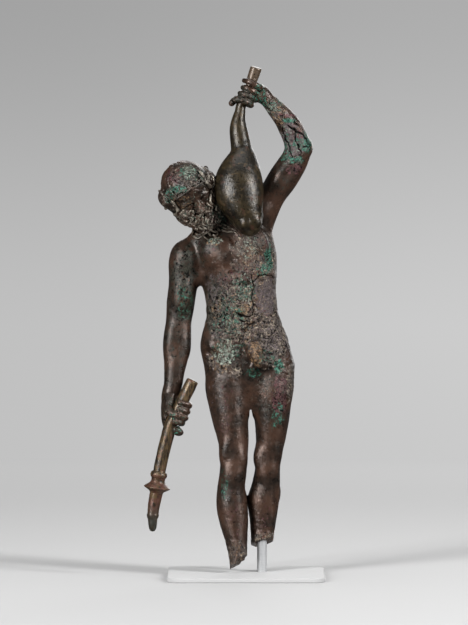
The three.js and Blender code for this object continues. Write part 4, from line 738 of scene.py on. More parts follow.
TORCH_PATH = [
    (-38.6, -8.6, 110.7), (-42.0, -8.6, 103.9), (-45.4, -8.7, 96.9), (-49.0, -8.7, 89.7),
    (-51.9, -8.6, 82.9),
    (-56.6, -8.2, 63.8), (-59.2, -8.0, 47.4), (-61.0, -8, 36.3), (-61.2, -8, 25.4),
]
# Distance from the top end in mm, radius
TORCH_PROFILE = [
    (0, 0), (0, 2.8), (0.6, 3.45), (8, 3.45), (20, 3.5), (34, 3.65), (44, 3.6), (54.6, 3.5),
    (55.5, 4.5), (56.8, 4.85), (58.0, 4.5), (58.7, 3.9), (60.2, 3.8), (61.4, 4.4),
    (63.3, 6.8), (63.9, 7.4), (64.5, 6.9), (66.0, 4.3), (67.0, 3.65),
    (73, 3.4), (78.6, 3.15), (79.6, 3.4), (81.0, 3.2),
    (81.8, 2.7), (84.4, 2.45), (87.2, 1.9), (88.5, 1.2), (89.1, 0),
]
TORCH_SIDES = 48
TORCH_RING_STEP = 0.6
HELD_LENGTH = 50          # the part of the torch that the hand may touch

ROD_RADIUS = 2.75
ROD_TOP = 30


# Clay is a grid of distances to the surface, negative inside, to which soft-edged shapes are added
# or from which they are hollowed out.

FAR = 50
PATH_STEPS = 6
SKIN_STEPS = 5


def smooth_rows(rows):
    """Smooth curve through rows of numbers, with every number of a row carried along."""
    full = [np.array(row if len(row) == 5 else (*row, row[3]), float) for row in rows]
    if len(full) < 3:
        return full
    points = [2 * full[0] - full[1], *full, 2 * full[-1] - full[-2]]
    out = []
    for a, b, c, d in zip(points, points[1:], points[2:], points[3:]):
        for t in np.arange(PATH_STEPS) / PATH_STEPS:
            bend = (2 * a - 5 * b + 4 * c - d) * t ** 2 + (3 * b - a - 3 * c + d) * t ** 3
            out.append(0.5 * (2 * b + (c - a) * t + bend))
    return out + [full[-1]]


def lump_distance(place, sizes, axes):
    """Distance to an ellipsoid, near its surface."""
    def distance(x, y, z):
        dx, dy, dz = x - place[0], y - place[1], z - place[2]
        reach = slope = 1e-9
        for axis, size in zip(axes, sizes):
            share = ((axis[0] * dx + axis[1] * dy + axis[2] * dz) / size) ** 2
            reach = reach + share
            slope = slope + share / size ** 2
        reach = np.sqrt(reach)
        return reach * (reach - 1) / np.sqrt(slope)
    return distance


def piece_distance(start, end):
    """Distance to a short straight piece of a limb with oval ends, its deep axis along y if it can be."""
    along = Vector(end[:3] - start[:3])
    length_squared = max(along.length_squared, 1e-9)
    unit = along / math.sqrt(length_squared)
    deep = (Vector((0, 1, 0)) - unit * unit.y).normalized()
    ox, oy, oz, wide, thick = (float(value) for value in start)
    wider, thicker = float(end[3] - start[3]), float(end[4] - start[4])
    is_round = wide == thick and wider == thicker

    def distance(x, y, z):
        dx, dy, dz = x - ox, y - oy, z - oz
        t = np.clip((dx * along.x + dy * along.y + dz * along.z) / length_squared, 0, 1)
        qx, qy, qz = dx - t * along.x, dy - t * along.y, dz - t * along.z
        away = qx * qx + qy * qy + qz * qz
        if is_round:
            return np.sqrt(away) - (wide + t * wider)
        across, through = (wide + t * wider) ** 2, (thick + t * thicker) ** 2
        depth = (qx * deep.x + qy * deep.y + qz * deep.z) ** 2
        rest = np.maximum(away - depth, 0) / across
        depth = depth / through
        reach = np.sqrt(rest + depth) + 1e-6
        return reach * (reach - 1) / (np.sqrt(rest / across + depth / through) + 1e-6)
    return distance


class Clay:
    def __init__(self, low, high, cell, **_):
        self.low = np.array(low, float)
        self.cell = cell
        count = np.ceil((np.array(high) - self.low) / cell).astype(int) + 1
        self.axes = [(self.low[n] + cell * np.arange(count[n])).astype(np.float32) for n in range(3)]
        self.field = np.full(count, FAR, np.float32)
        self.frame = Matrix.Identity(4)

    def within(self, frame):
        """The same clay, with shapes placed in a frame of their own."""
        inner = copy.copy(self)
        inner.frame = self.frame @ frame
        return inner

    def window(self, low, high, margin):
        first = np.floor((np.array(low) - margin - self.low) / self.cell).astype(int)
        last = np.ceil((np.array(high) + margin - self.low) / self.cell).astype(int) + 1
        limit = np.array(self.field.shape)
        first, last = np.clip(first, 0, limit), np.clip(last, 0, limit)
        return tuple(slice(int(a), int(b)) for a, b in zip(first, last))

    def index(self, axis, value):
        return int(round((value - self.low[axis]) / self.cell))

    def height(self, place):
        """How far a place is from the surface, negative inside."""
        spot = (np.array(place) - self.low) / self.cell
        first = np.clip(np.floor(spot).astype(int), 0, np.array(self.field.shape) - 2)
        block = self.field[tuple(slice(n, n + 2) for n in first)]
        for share in spot - first:
            block = block[0] * (1 - share) + block[1] * share
        return float(block)

    def on_skin(self, place, lift=0.0):
        """The place brought to stand lift mm above the surface, and the direction out of it."""
        place = np.array(place, float)
        for _ in range(SKIN_STEPS):
            steps = np.eye(3) * self.cell
            out = np.array([self.height(place + step) - self.height(place - step) for step in steps])
            out /= np.linalg.norm(out) + 1e-9
            place = place - out * (self.height(place) - lift)
        return place, out

    def places(self, window):
        x, y, z = (axis[part] for axis, part in zip(self.axes, window))
        return x[:, None, None], y[None, :, None], z[None, None, :]

    def work(self, pieces, softness, hollow):
        """Joins pieces, each a box with a distance inside it, to the clay, or takes them away."""
        margin = 2 * softness + 2.5 * self.cell
        windows = [self.window(low, high, margin) for low, high, _ in pieces]
        bounds = [(min(w[n].start for w in windows), max(w[n].stop for w in windows)) for n in range(3)]
        whole = tuple(slice(*bound) for bound in bounds)
        near = np.full([stop - start for start, stop in bounds], FAR, np.float32)
        for window, (_, _, distance) in zip(windows, pieces):
            part = tuple(slice(w.start - b[0], w.stop - b[0]) for w, b in zip(window, bounds))
            near[part] = np.minimum(near[part], distance(*self.places(window)))
        old = self.field[whole]
        if hollow:
            near = -near
        blend = np.maximum(softness - np.abs(old - near), 0)
        blend = blend * blend / (4 * softness)
        self.field[whole] = np.maximum(old, near) + blend if hollow else np.minimum(old, near) - blend

    def lump(self, place, sizes, turn=NO_TURN, softness=3, hollow=False):
        frame = self.frame @ turned(place, turn)
        axes = [tuple(frame.col[n].xyz) for n in range(3)]
        middle = tuple(frame.translation)
        reach = np.sqrt(sum((np.array(axis) * size) ** 2 for axis, size in zip(axes, sizes)))
        distance = lump_distance(middle, [float(size) for size in sizes], axes)
        self.work([(middle - reach, middle + reach, distance)], softness, hollow)

    def lumps(self, lumps, side=1, place=(0, 0, 0)):
        """Adds the lumps of a table, placed from a point, and mirrored where side is -1."""
        for (x, y, z), sizes, (tilt, lean, twist), softness, *hollow in lumps.values():
            middle = (place[0] + side * x, place[1] + y, place[2] + z)
            self.lump(middle, sizes, (tilt, side * lean, side * twist), softness, *hollow)

    def limb(self, rows, softness=3, hollow=False, mirror=1):
        placed = []
        for x, y, z, *sizes in rows:
            placed.append((*(self.frame @ Vector((mirror * x, y, z))), *sizes))
        placed = smooth_rows(placed)
        pieces = []
        for start, end in zip(placed, placed[1:]):
            reach = max(start[3], start[4], end[3], end[4])
            low = np.minimum(start[:3], end[:3]) - reach
            high = np.maximum(start[:3], end[:3]) + reach
            pieces.append((low, high, piece_distance(start, end)))
        self.work(pieces, softness, hollow)

    def slice(self, at, normal, reach, ragged=0.0):
        """Takes away what lies past a plane through a point, within reach of that point."""
        away = Vector(normal).normalized()
        window = self.window(np.array(at) - reach, np.array(at) + reach, 0)
        x, y, z = self.places(window)
        past = (x - at[0]) * away.x + (y - at[1]) * away.y + (z - at[2]) * away.z
        if ragged:
            points = np.stack(np.broadcast_arrays(x, y, z), axis=-1).reshape(-1, 3)
            past = past + ragged * break_relief(points).reshape(past.shape)
        self.field[window] = np.maximum(self.field[window], past)

    def weather(self, relief, reach=2.0):
        """Raises the surface by what relief gives, in mm, at points near it."""
        near = np.nonzero(np.abs(self.field) < reach)
        points = np.stack([axis[index] for axis, index in zip(self.axes, near)], axis=1)
        self.field[near] -= relief(points)

    def mesh(self, name, faces):
        grid = openvdb.FloatGrid(FAR)
        grid.copyFromArray(np.clip(self.field, -4, 4))
        points, triangles, quads = grid.convertToPolygons(0.0, 0.0)
        points = points * self.cell + self.low
        halves = [quads[:, [0, 1, 2]], quads[:, [0, 2, 3]], triangles]
        return mesh_object(name, points, largest_island(np.concatenate(halves)), faces)


def largest_island(faces):
    """Faces of the connected surface that has most of them."""
    label = np.arange(faces.max() + 1)
    while True:
        least = label[faces].min(axis=1)
        before = label.copy()
        for corner in range(3):
            np.minimum.at(label, faces[:, corner], least)
        label = label[label]
        if (label == before).all():
            break
    kinds, counts = np.unique(label[faces[:, 0]], return_counts=True)
    return faces[label[faces[:, 0]] == kinds[counts.argmax()]]


def mesh_object(name, points, faces, most_faces=None):
    """Object from points in mm, smoothly shaded, brought down to a number of faces."""
    used, faces = np.unique(faces, return_inverse=True)
    faces = faces.reshape(-1, 3)
    mesh = bpy.data.meshes.new(name)
    mesh.vertices.add(len(used))
    mesh.vertices.foreach_set("co", (points[used] * MM).astype(np.float32).ravel())
    mesh.loops.add(faces.size)
    mesh.loops.foreach_set("vertex_index", faces.astype(np.int32).ravel())
    mesh.polygons.add(len(faces))
    mesh.polygons.foreach_set("loop_start", np.arange(0, faces.size, 3, dtype=np.int32))
    mesh.update(calc_edges=True)
    mesh.validate()
    piece = bpy.data.objects.new(name, mesh)
    bpy.context.scene.collection.objects.link(piece)
    if most_faces and len(faces) > most_faces:
        thin = piece.modifiers.new("thin", "DECIMATE")
        thin.ratio = most_faces / len(faces)
        apply_modifiers(piece)
    piece.data.shade_smooth()
    return piece


def apply_modifiers(piece):
    evaluated = piece.evaluated_get(bpy.context.evaluated_depsgraph_get())
    mesh = bpy.data.meshes.new_from_object(evaluated)
    piece.modifiers.clear()
    old = piece.data
    piece.data = mesh
    bpy.data.meshes.remove(old)


def points_of(piece):
    flat = np.empty(len(piece.data.vertices) * 3, np.float32)
    piece.data.vertices.foreach_get("co", flat)
    return flat.reshape(-1, 3) / MM


def normals_of(piece):
    flat = np.empty(len(piece.data.vertices) * 3, np.float32)
    piece.data.vertex_normals.foreach_get("vector", flat)
    return flat.reshape(-1, 3)


# Smooth noise and the relief that time left on the metal


def scrambled(x, y, z, seed):
    """Even numbers from 0 to 1, one for each whole place."""
    mixed = (x * 73856093) ^ (y * 19349663) ^ (z * 83492791) ^ (seed * 2654435761)
    mixed = (mixed ^ (mixed >> 13)) & 0xFFFFFFFF
    mixed = (mixed * 1274126177) & 0xFFFFFFFF
    mixed = (mixed ^ (mixed >> 16)) & 0xFFFFFFFF
    return mixed / 0xFFFFFFFF


def noise(points, size, seed):
    """Smooth noise from -1 to 1, its lumps of a given size in mm."""
    places = points.astype(np.float64) / size
    cell = np.floor(places).astype(np.int64)
    share = places - cell
    share = share * share * (3 - 2 * share)
    total = 0
    for corner in itertools.product((0, 1), repeat=3):
        weight = 1
        for n in range(3):
            weight = weight * (share[:, n] if corner[n] else 1 - share[:, n])
        total = total + weight * scrambled(*(cell[:, n] + corner[n] for n in range(3)), seed)
    return total * 2 - 1


def step_up(value, low, high):
    share = np.clip((value - low) / (high - low), 0, 1)
    return share * share * (3 - 2 * share)


# Patches of the surface, seen from the front: x and z of the middle, half width and half height, strength

ROUGH_PATCHES = [
    (6.5, 130, 11, 12, 1.0), (16, 110, 3, 10, 1.0), (7, 147, 8, 17, 0.7), (-15, 145, 16, 16, 0.5),
    (-20, 123, 10, 9, 0.7), (-2, 118, 7, 8, 0.5), (17, 245, 8, 10, 0.5), (-16, 12, 8, 10, 0.6),
    (2, 22, 9, 9, 0.8),
]


def patch_mask(points, patches, seed, ragged=0.35):
    """Share from 0 to 1 by which a point lies in any of the patches, with ragged edges."""
    wobble = noise(points, 5.0, seed) * ragged + noise(points, 1.8, seed + 1) * ragged * 0.7
    mask = np.zeros(len(points))
    for x, z, wide, high, strength in patches:
        away = np.hypot((points[:, 0] - x) / wide, (points[:, 2] - z) / high)
        mask = np.maximum(mask, strength * step_up(1.25 - away + wobble, 0, 0.5))
    return mask


def worn_relief(points):
    """Height in mm: soft undulation all over, pits and crumbs where the surface is corroded."""
    rough = 0.12 + patch_mask(points, ROUGH_PATCHES, 11)
    soft = 0.10 * noise(points, 7.0, 1) + 0.05 * noise(points, 3.2, 2)
    pits = -step_up(noise(points, 1.9, 3), 0.2, 0.65) * 0.45
    crumbs = 0.20 * noise(points, 1.2, 4)
    return soft + rough * (pits + crumbs)


def break_relief(points):
    return noise(points, 2.6, 51) + 0.5 * noise(points, 1.2, 52)


def calm_relief(points):
    return 0.06 * noise(points, 5.0, 21) + 0.03 * noise(points, 1.8, 22)


# The whole figure

# Cracks of the left forearm, given as those of the belly are
FOREARM_CRACKS = [
    [(18.0, 254.7, 0.3), (19.4, 253.5, 0.65), (20.8, 252.0, 0.3)],
    [
        (14.2, 252.8, 0.3), (18.1, 250.4, 0.75), (18.6, 246.8, 0.5), (20.3, 241.1, 0.75),
        (21.7, 236.8, 0.3),
    ],
    [(18.1, 250.3, 0.5), (21.3, 248.4, 0.6), (24.9, 244.9, 0.55), (27.0, 241.4, 0.3)],
    [(12.6, 246.4, 0.25), (13.6, 243.9, 0.45), (15.6, 240.4, 0.5), (17.2, 234.8, 0.3)],
    [(11.6, 252.0, 0.2), (12.0, 248.0, 0.35), (13.4, 243.6, 0.25)],
    [(22.6, 240.6, 0.3), (24.4, 241.2, 0.4), (25.8, 240.4, 0.3)],
]


def cut_cracks(clay, cracks, sunk):
    for crack in cracks:
        clay.limb(laid_on(clay, wandering(crack), sunk), 0.3, hollow=True)


def model_figure():
    clay = Clay(**FIGURE)
    model_trunk(clay)
    model_legs(clay)
    for kind in SHIN_BREAKS.values():
        clay.slice(**kind)
    model_arms(clay)
    cut_cracks(clay, FOREARM_CRACKS, sunk=0.4)
    model_hands(clay)
    model_skull(clay)
    clay.weather(worn_relief)
    clear_what_is_held(clay)
    return clay


def model_head_piece(name, model, body, faces):
    clay = Clay(**HEAD_BOX)
    model(clay, body)
    model_wineskin(clay, SEAT, hollow=True)
    clay.weather(calm_relief)
    return clay.mesh(name, faces)


def clear_what_is_held(clay):
    model_wineskin(clay, SEAT, hollow=True)
    clay.limb([(*place, radius + SEAT) for place, radius in held_torch_rows()], 0.2, hollow=True)
    clay.limb([(0, 0, -2, ROD_RADIUS + SEAT), (0, 0, ROD_TOP, ROD_RADIUS + SEAT)], 0.2, hollow=True)


def torch_path_lengths():
    """Smooth torch path in mm as places and their distances from the top end."""
    places = np.array([row[:3] for row in smooth_rows([(*place, 1) for place in TORCH_PATH])])
    steps = np.linalg.norm(np.diff(places, axis=0), axis=1)
    return places, np.concatenate([[0], np.cumsum(steps)])


def held_torch_rows():
    places, lengths = torch_path_lengths()
    distances, radii = zip(*TORCH_PROFILE[2:-1])
    rows = []
    for at in np.arange(-1, HELD_LENGTH, 6.0):
        place = [np.interp(at, lengths, places[:, n]) for n in range(3)]
        rows.append((place, float(np.interp(at, distances, radii))))
    return rows


def make_torch():
    places, lengths = torch_path_lengths()
    distances, radii = (np.array(column, float) for column in zip(*TORCH_PROFILE[1:-1]))
    stations = np.unique(np.concatenate([distances, np.arange(0, distances[-1], TORCH_RING_STEP)]))
    middles = np.stack([np.interp(stations, lengths, places[:, n]) for n in range(3)], axis=1)
    along = np.gradient(middles, axis=0)
    along /= np.linalg.norm(along, axis=1)[:, None] + 1e-9
    along[0] = along[1]
    across = np.cross(along, (0, 1, 0))
    across /= np.linalg.norm(across, axis=1)[:, None]
    deep = np.cross(across, along)
    angles = np.arange(TORCH_SIDES) / TORCH_SIDES * 2 * math.pi
    out = across[:, None, :] * np.cos(angles)[None, :, None]
    out = out + deep[:, None, :] * np.sin(angles)[None, :, None]
    radius = np.interp(stations, distances, radii)[:, None, None]
    rings = middles[:, None, :] + out * radius
    flat = rings.reshape(-1, 3)
    flat = flat + out.reshape(-1, 3) * torch_relief(flat)[:, None]
    points = np.concatenate([flat, middles[:1], middles[-1:] + along[-1:] * 0.4])
    faces = tube_faces(len(stations), TORCH_SIDES)
    return mesh_object("torch_fine", points, faces)


def torch_relief(points):
    return 0.10 * noise(points, 4.0, 31) + 0.05 * noise(points, 1.6, 32)


def tube_faces(rings, sides):
    first = np.arange(rings - 1)[:, None] * sides + np.arange(sides)[None, :]
    turn = np.arange(rings - 1)[:, None] * sides + (np.arange(sides)[None, :] + 1) % sides
    walls = [np.stack([first, first + sides, turn], -1), np.stack([turn, first + sides, turn + sides], -1)]
    ring = np.arange(sides)
    following = (ring + 1) % sides
    start, end = rings * sides, rings * sides + 1
    last = (rings - 1) * sides
    caps = [
        np.stack([np.full(sides, start), ring, following], -1),
        np.stack([np.full(sides, end), last + following, last + ring], -1),
    ]
    return np.concatenate([part.reshape(-1, 3) for part in (*walls, *caps)])


def make_wineskin():
    clay = Clay(**SKIN)
    model_wineskin(clay)
    clay.slice(**SKIN_MOUTH)
    clay.weather(calm_relief)
    return clay.mesh("wineskin_fine", SKIN["faces"])


# Patina. Patches are seen from the front: x and z of the middle, half width and half height, strength.

PATINA = {
    "crust": [
        (-12, 148, 19, 24, 0.85), (2, 155, 9, 15, 0.85), (6, 133, 13, 16, 0.9), (-19, 123, 12, 11, 0.65),
        (-8, 174, 9, 7, 0.6), (-8.5, 185, 8, 8, 0.7), (4, 180, 7, 14, 0.7), (17, 244, 8, 13, 0.4),
        (-42, 226, 12, 7, 0.5), (-50, 214, 7, 8, 0.5), (-32, 202, 14, 7, 0.6), (-14, 14, 6, 8, 0.6),
        (2, 20, 7, 5, 0.7), (16, 108, 3, 12, 0.8), (6, 262, 7, 7, 0.55), (-26, 188.6, 5, 2, 0.5),
        (-48, 92, 6, 9, 0.4), (5, 105, 9, 10, 0.35), (-30, 176, 9, 9, 0.3), (-8, 60, 30, 60, 0.14),
        (-46, 140, 8, 60, 0.16),
    ],
    "olive": [
        (-26, 152, 7, 20, 0.75), (-34, 184, 8, 10, 0.6), (-9, 138, 5, 6, 0.5), (-14, 120, 6, 5, 0.45),
        (-44, 170, 8, 16, 0.85), (-43, 152, 7, 12, 0.6), (-36, 226, 10, 8, 0.6), (-36, 190, 8, 6, 0.4),
        (-50, 120, 6, 14, 0.4), (5, 100, 9, 16, 0.5), (-14, 60, 5, 14, 0.12), (-20, 205, 12, 8, 0.45),
        (10, 224, 8, 12, 0.4), (-8, 168, 8, 8, 0.35), (-20, 140, 12, 14, 0.4), (2, 66, 7, 18, 0.1),
        (-52, 90, 6, 10, 0.5), (-47, 128, 5, 12, 0.5), (-44, 205, 14, 9, 0.5), (-22, 90, 5, 20, 0.3),
        (-12, 268, 8, 7, 0.85), (-47, 140, 7, 30, 0.5), (2, 184, 9, 7, 0.45), (-20, 168, 9, 5, 0.4),
    ],
    "mauve": [
        (1.4, 157, 7.0, 11.5, 0.85), (17, 244, 8, 11, 0.95), (6, 134, 12, 14, 0.55),
        (-25, 160, 7, 9, 0.55), (7, 262, 7, 6, 0.5), (-24, 140, 6, 8, 0.4), (-28, 112, 3, 20, 0.35),
        (-2, 176, 5, 5, 0.5),
    ],
    "red": [
        (20.4, 248.4, 2.4, 2.6, 0.65), (23.0, 246.0, 1.6, 2.4, 0.6), (-14, 170, 8, 4, 0.5),
        (-19, 150, 6, 8, 0.42), (-49.5, 224, 4.5, 5.5, 0.6), (-25.5, 200.6, 3, 2.4, 0.65),
        (2.2, 183, 1.6, 7, 0.65), (9.8, 104, 5, 14, 0.75), (17.5, 228.5, 4.5, 3, 0.7),
        (14, 258.4, 5.5, 1.1, 0.8), (-21, 98, 4, 27, 0.4), (-15, 35, 4, 14, 0.42), (1, 32, 4, 12, 0.42),
        (20, 247, 4, 7, 0.4), (-22, 165, 4, 6, 0.42), (-36, 190, 5, 6, 0.25), (-46, 217.5, 3, 2.5, 0.55),
        (-12, 150, 14, 20, 0.42), (-30, 184, 6, 6, 0.35),
    ],
    "ochre": [
        (9.5, 258.5, 4.5, 6, 0.55), (-25, 152, 4, 4, 0.55), (-14.4, 148, 2.4, 5, 0.6),
        (-9.3, 153.2, 4, 3, 0.6), (-9.4, 151.6, 4.6, 4.2, 0.72), (-10, 142, 4, 5, 0.55),
        (-3.4, 125.5, 3.6, 7, 0.75), (-14, 14, 4, 9, 0.4), (2, 20, 6, 4, 0.4), (-28, 187.4, 3, 1.4, 0.65),
        (-6, 178, 8, 8, 0.42), (-44, 210, 7, 4, 0.5), (-22, 118, 6, 4, 0.55), (-26, 148, 4, 5, 0.45),
        (-2, 168, 4, 5, 0.45), (-26, 126, 3, 8, 0.45), (8, 263, 6, 5, 0.45), (-12, 150, 15, 20, 0.36),
    ],
    "green": [
        (21, 243.5, 5, 3.5, 0.7), (24.8, 246, 2.2, 6, 0.7), (12.6, 237, 3.5, 5, 0.6), (6, 264, 5, 4, 0.5),
        (3.4, 178, 2.3, 8, 0.78), (0.6, 172.5, 5, 3.4, 0.65), (-9, 163, 6, 9, 0.56),
        (-18, 146, 8, 14, 0.52), (-20, 128, 9, 7, 0.48), (-4.4, 114.5, 5.5, 2.6, 0.65),
        (9.2, 118.6, 3, 4, 0.78), (3, 124, 5, 4, 0.46), (8.7, 90, 4, 8, 0.58), (-21.2, 52, 2.4, 7, 0.55),
        (-43, 154, 5, 10, 0.52), (-1.5, 269, 4, 8, 0.6), (14.6, 255.4, 4.6, 1.6, 0.95),
        (25, 243, 3.2, 6, 0.75), (18.5, 233.5, 5, 2, 0.75), (14, 240, 2.2, 6, 0.65),
        (-26, 188.5, 4.5, 2, 0.45), (-22.4, 199, 2.5, 4, 0.62), (-47, 217, 6, 2.4, 0.66),
        (-52, 213, 3.5, 4, 0.66), (-44.6, 226, 2, 3, 0.6), (-48, 92, 5, 9, 0.4), (-49, 83, 4, 3, 0.62),
        (18, 245, 7, 9, 0.3), (6, 262, 5, 5, 0.35), (-40, 226, 9, 4, 0.42), (-30, 203, 12, 8, 0.3),
    ],
    "pale": [
        (-40.6, 227.2, 3.0, 3.4, 0.66), (-20, 125, 7, 6, 0.66), (-22, 131, 5, 4, 0.5),
        (-16, 150, 13, 16, 0.36), (15, 246, 8, 9, 0.3), (6, 262, 6, 4, 0.42), (-8, 185, 6, 6, 0.45),
        (-26, 188.6, 4.2, 1.6, 0.75), (-34, 208, 8, 9, 0.3), (-11, 163, 7, 7, 0.44),
    ],
}


def paint_patches(piece):
    """Stores how much of each kind of patina lies at each point of a piece, least on its back."""
    points = points_of(piece)
    ragged = 0.45 * noise(points, 9, 61) + 0.3 * noise(points, 2.6, 62)
    facing = step_up(-normals_of(piece)[:, 1] + ragged, -0.35, 0.25)
    for n, (kind, patches) in enumerate(PATINA.items()):
        generic = 0.45 * step_up(noise(points, 14.0, 60 + n) + 0.4 * noise(points, 4.0, 70 + n), 0.35, 0.9)
        mask = facing * patch_mask(points, patches, 40 + 2 * n) + (1 - facing) * generic
        store(piece, kind, mask)


CRACK_EDGE = 0.35         # mm over which the painted shade and dirt of a crack fade at its rim
CRACK_DARK = 0.5          # share of a crack's radius that is painted dark all through, for dirt and shade in it


def crack_mask(points):
    """Share from 0 to 1 by which a point lies in a crack, as seen from the front."""
    flat = points[:, [0, 2]].astype(np.float64)
    mask = np.zeros(len(points))
    for crack in TORSO_CRACKS + FOREARM_CRACKS:
        rows = wandering(crack)
        for start, end in zip(rows, rows[1:]):
            along = end[:2] - start[:2]
            share = np.clip((flat - start[:2]) @ along / (along @ along), 0, 1)
            away = np.linalg.norm(flat - start[:2] - share[:, None] * along, axis=1)
            radius = (start[2] + share * (end[2] - start[2])) * CRACK_DARK
            mask = np.maximum(mask, 1 - step_up(away - radius, 0, CRACK_EDGE))
    return mask


WEAR_REACH = 1.6          # mm round a point that its height is measured against
# Ridges that stand out are drawn paler: wear, and on the hair a painted highlight along the strands' crests
WEAR_AND_GLINT_FROM, WEAR_AND_GLINT_TO = 0.18, 0.45
RECESS_FROM, RECESS_TO = 0.08, 0.38


def paint_wear_glint_and_shade(piece):
    """Stores how far each point stands out of its surroundings, and how far it lies back in them: the first
    is drawn as wear and, on the hair, a painted highlight, the second as dirt and painted shade in hollows
    and cracks.
    """
    points = points_of(piece)
    flat = np.empty(len(piece.data.edges) * 2, np.int32)
    piece.data.edges.foreach_get("vertices", flat)
    start, end = flat.reshape(-1, 2).T
    count = len(points)
    degree = np.maximum(np.bincount(flat, minlength=count), 1)
    smooth = points.astype(np.float64)
    edge_length = np.linalg.norm(points[start] - points[end], axis=1).mean()
    for _ in range(max(round((WEAR_REACH / edge_length) ** 2), 1)):
        for n in range(3):
            column = smooth[:, n]
            total = np.bincount(start, column[end], count) + np.bincount(end, column[start], count)
            smooth[:, n] = total / degree
    stands_out = ((points - smooth) * normals_of(piece)).sum(axis=1)
    store(piece, "wear_and_glint", step_up(stands_out, WEAR_AND_GLINT_FROM, WEAR_AND_GLINT_TO))
    facing = step_up(-normals_of(piece)[:, 1], -0.2, 0.2)
    # Dirt and painted shade: hollows, and the cracks on the front, are to be drawn black
    recess_dirt_and_shade = np.maximum(step_up(-stands_out, RECESS_FROM, RECESS_TO), crack_mask(points) * facing)
    store(piece, "recess_dirt_and_shade", recess_dirt_and_shade)


def store(piece, name, values):
    layer = piece.data.attributes.new(name, "FLOAT", "POINT")
    layer.data.foreach_set("value", np.clip(values, 0, 1).astype(np.float32))


# Materials


class Nodes:
    """Short names for the nodes of one material."""

    def __init__(self, name):
        self.material = bpy.data.materials.new(name)
        self.material.use_nodes = True
        self.tree = self.material.node_tree
        self.shader = self.tree.nodes["Principled BSDF"]
        self.place = self.tree.nodes.new("ShaderNodeTexCoord").outputs["Object"]
        self.shift = 0.0

    def link(self, source, target):
        if isinstance(source, bpy.types.NodeSocket):
            self.tree.links.new(source, target)
        else:
            target.default_value = source

    def noise(self, size, detail=4.0, roughness=0.6, stretch=(1, 1, 1), distortion=0.0):
        """Noise with lumps of a size in mm. Each call lies elsewhere, so no two are alike."""
        self.shift += 0.37
        place = self.tree.nodes.new("ShaderNodeMapping")
        place.inputs["Location"].default_value = (self.shift, 0.5 * self.shift, -self.shift)
        place.inputs["Scale"].default_value = stretch
        self.link(self.place, place.inputs["Vector"])
        node = self.tree.nodes.new("ShaderNodeTexNoise")
        node.inputs["Scale"].default_value = 1 / (size * MM)
        node.inputs["Detail"].default_value = detail
        node.inputs["Roughness"].default_value = roughness
        node.inputs["Distortion"].default_value = distortion
        self.link(place.outputs["Vector"], node.inputs["Vector"])
        return node.outputs["Fac"]

    def rise(self):
        """Height above the floor in mm."""
        split = self.tree.nodes.new("ShaderNodeSeparateXYZ")
        self.link(self.place, split.inputs[0])
        return self.math("MULTIPLY", split.outputs["Z"], 1 / MM)

    def attribute(self, name):
        node = self.tree.nodes.new("ShaderNodeAttribute")
        node.attribute_name = name
        return node.outputs["Fac"]

    def math(self, operation, a, b):
        node = self.tree.nodes.new("ShaderNodeMath")
        node.operation = operation
        self.link(a, node.inputs[0])
        self.link(b, node.inputs[1])
        return node.outputs["Value"]

    def between(self, value, low, high, to_low=0.0, to_high=1.0):
        node = self.tree.nodes.new("ShaderNodeMapRange")
        node.interpolation_type = "SMOOTHSTEP"
        names = ("From Min", "From Max", "To Min", "To Max")
        for name, number in zip(names, (low, high, to_low, to_high)):
            node.inputs[name].default_value = number
        self.link(value, node.inputs["Value"])
        return node.outputs["Result"]

    def mix(self, share, a, b):
        node = self.tree.nodes.new("ShaderNodeMix")
        node.data_type = "RGBA"
        for source, socket in ((share, node.inputs[0]), (a, node.inputs[6]), (b, node.inputs[7])):
            self.link((*source, 1.0) if isinstance(source, tuple) else source, socket)
        return node.outputs[2]

    def times(self, a, b):
        node = self.tree.nodes.new("ShaderNodeMix")
        node.data_type = "RGBA"
        node.blend_type = "MULTIPLY"
        node.inputs[0].default_value = 1.0
        self.link(a, node.inputs[6])
        self.link(b, node.inputs[7])
        return node.outputs[2]

    def scaled(self, value, factor, offset=0.0):
        return self.math("ADD", self.math("MULTIPLY", value, factor), offset)

    def patch(self, name, grain):
        """Specks that lie as thick as an attribute says: few at 0, half of the surface at 0.6."""
        raised = self.math("ADD", self.scaled(self.attribute(name), 1.2), self.scaled(grain, 3.6, -2.05))
        return self.between(raised, 0.42, 0.66)

    def bump(self, height, distance, strength=1.0, below=None):
        node = self.tree.nodes.new("ShaderNodeBump")
        node.inputs["Strength"].default_value = strength
        node.inputs["Distance"].default_value = distance * MM
        self.link(height, node.inputs["Height"])
        if below:
            self.link(below, node.inputs["Normal"])
        return node.outputs["Normal"]


METAL_SHARE = 0.4
BRONZE_DARK = (0.012, 0.009, 0.007)
BRONZE_BROWN = (0.036, 0.022, 0.015)
BRONZE_WARM = (0.074, 0.038, 0.024)
BLACK = (0.004, 0.004, 0.004)
WORN_COLOUR = (0.17, 0.125, 0.095)
# Pale crests of the hair's strands: wear, and a painted highlight for the glints along them
HAIR_WEAR_AND_GLINT_COLOUR = (0.29, 0.255, 0.205)
WREATH_WORN_COLOUR = (0.11, 0.095, 0.080)
CRUST_BROWN = (0.054, 0.037, 0.027)
CRUST_GREY = (0.098, 0.078, 0.066)
CRUST_LIGHT = (0.30, 0.25, 0.19)
CRUST_SHADES = ((0.42, 0.42, 0.40), (1.28, 1.26, 1.22))    # factors for its dim and its bright parts
PATINA_COLOURS = {
    "olive": (0.020, 0.019, 0.011),
    "mauve": (0.070, 0.051, 0.051),
    "red": (0.062, 0.017, 0.018),
    "ochre": (0.160, 0.094, 0.046),
    "green": (0.019, 0.094, 0.062),
    "pale": (0.17, 0.20, 0.16),
}
PATINA_SHADES = (0.5, 1.5)


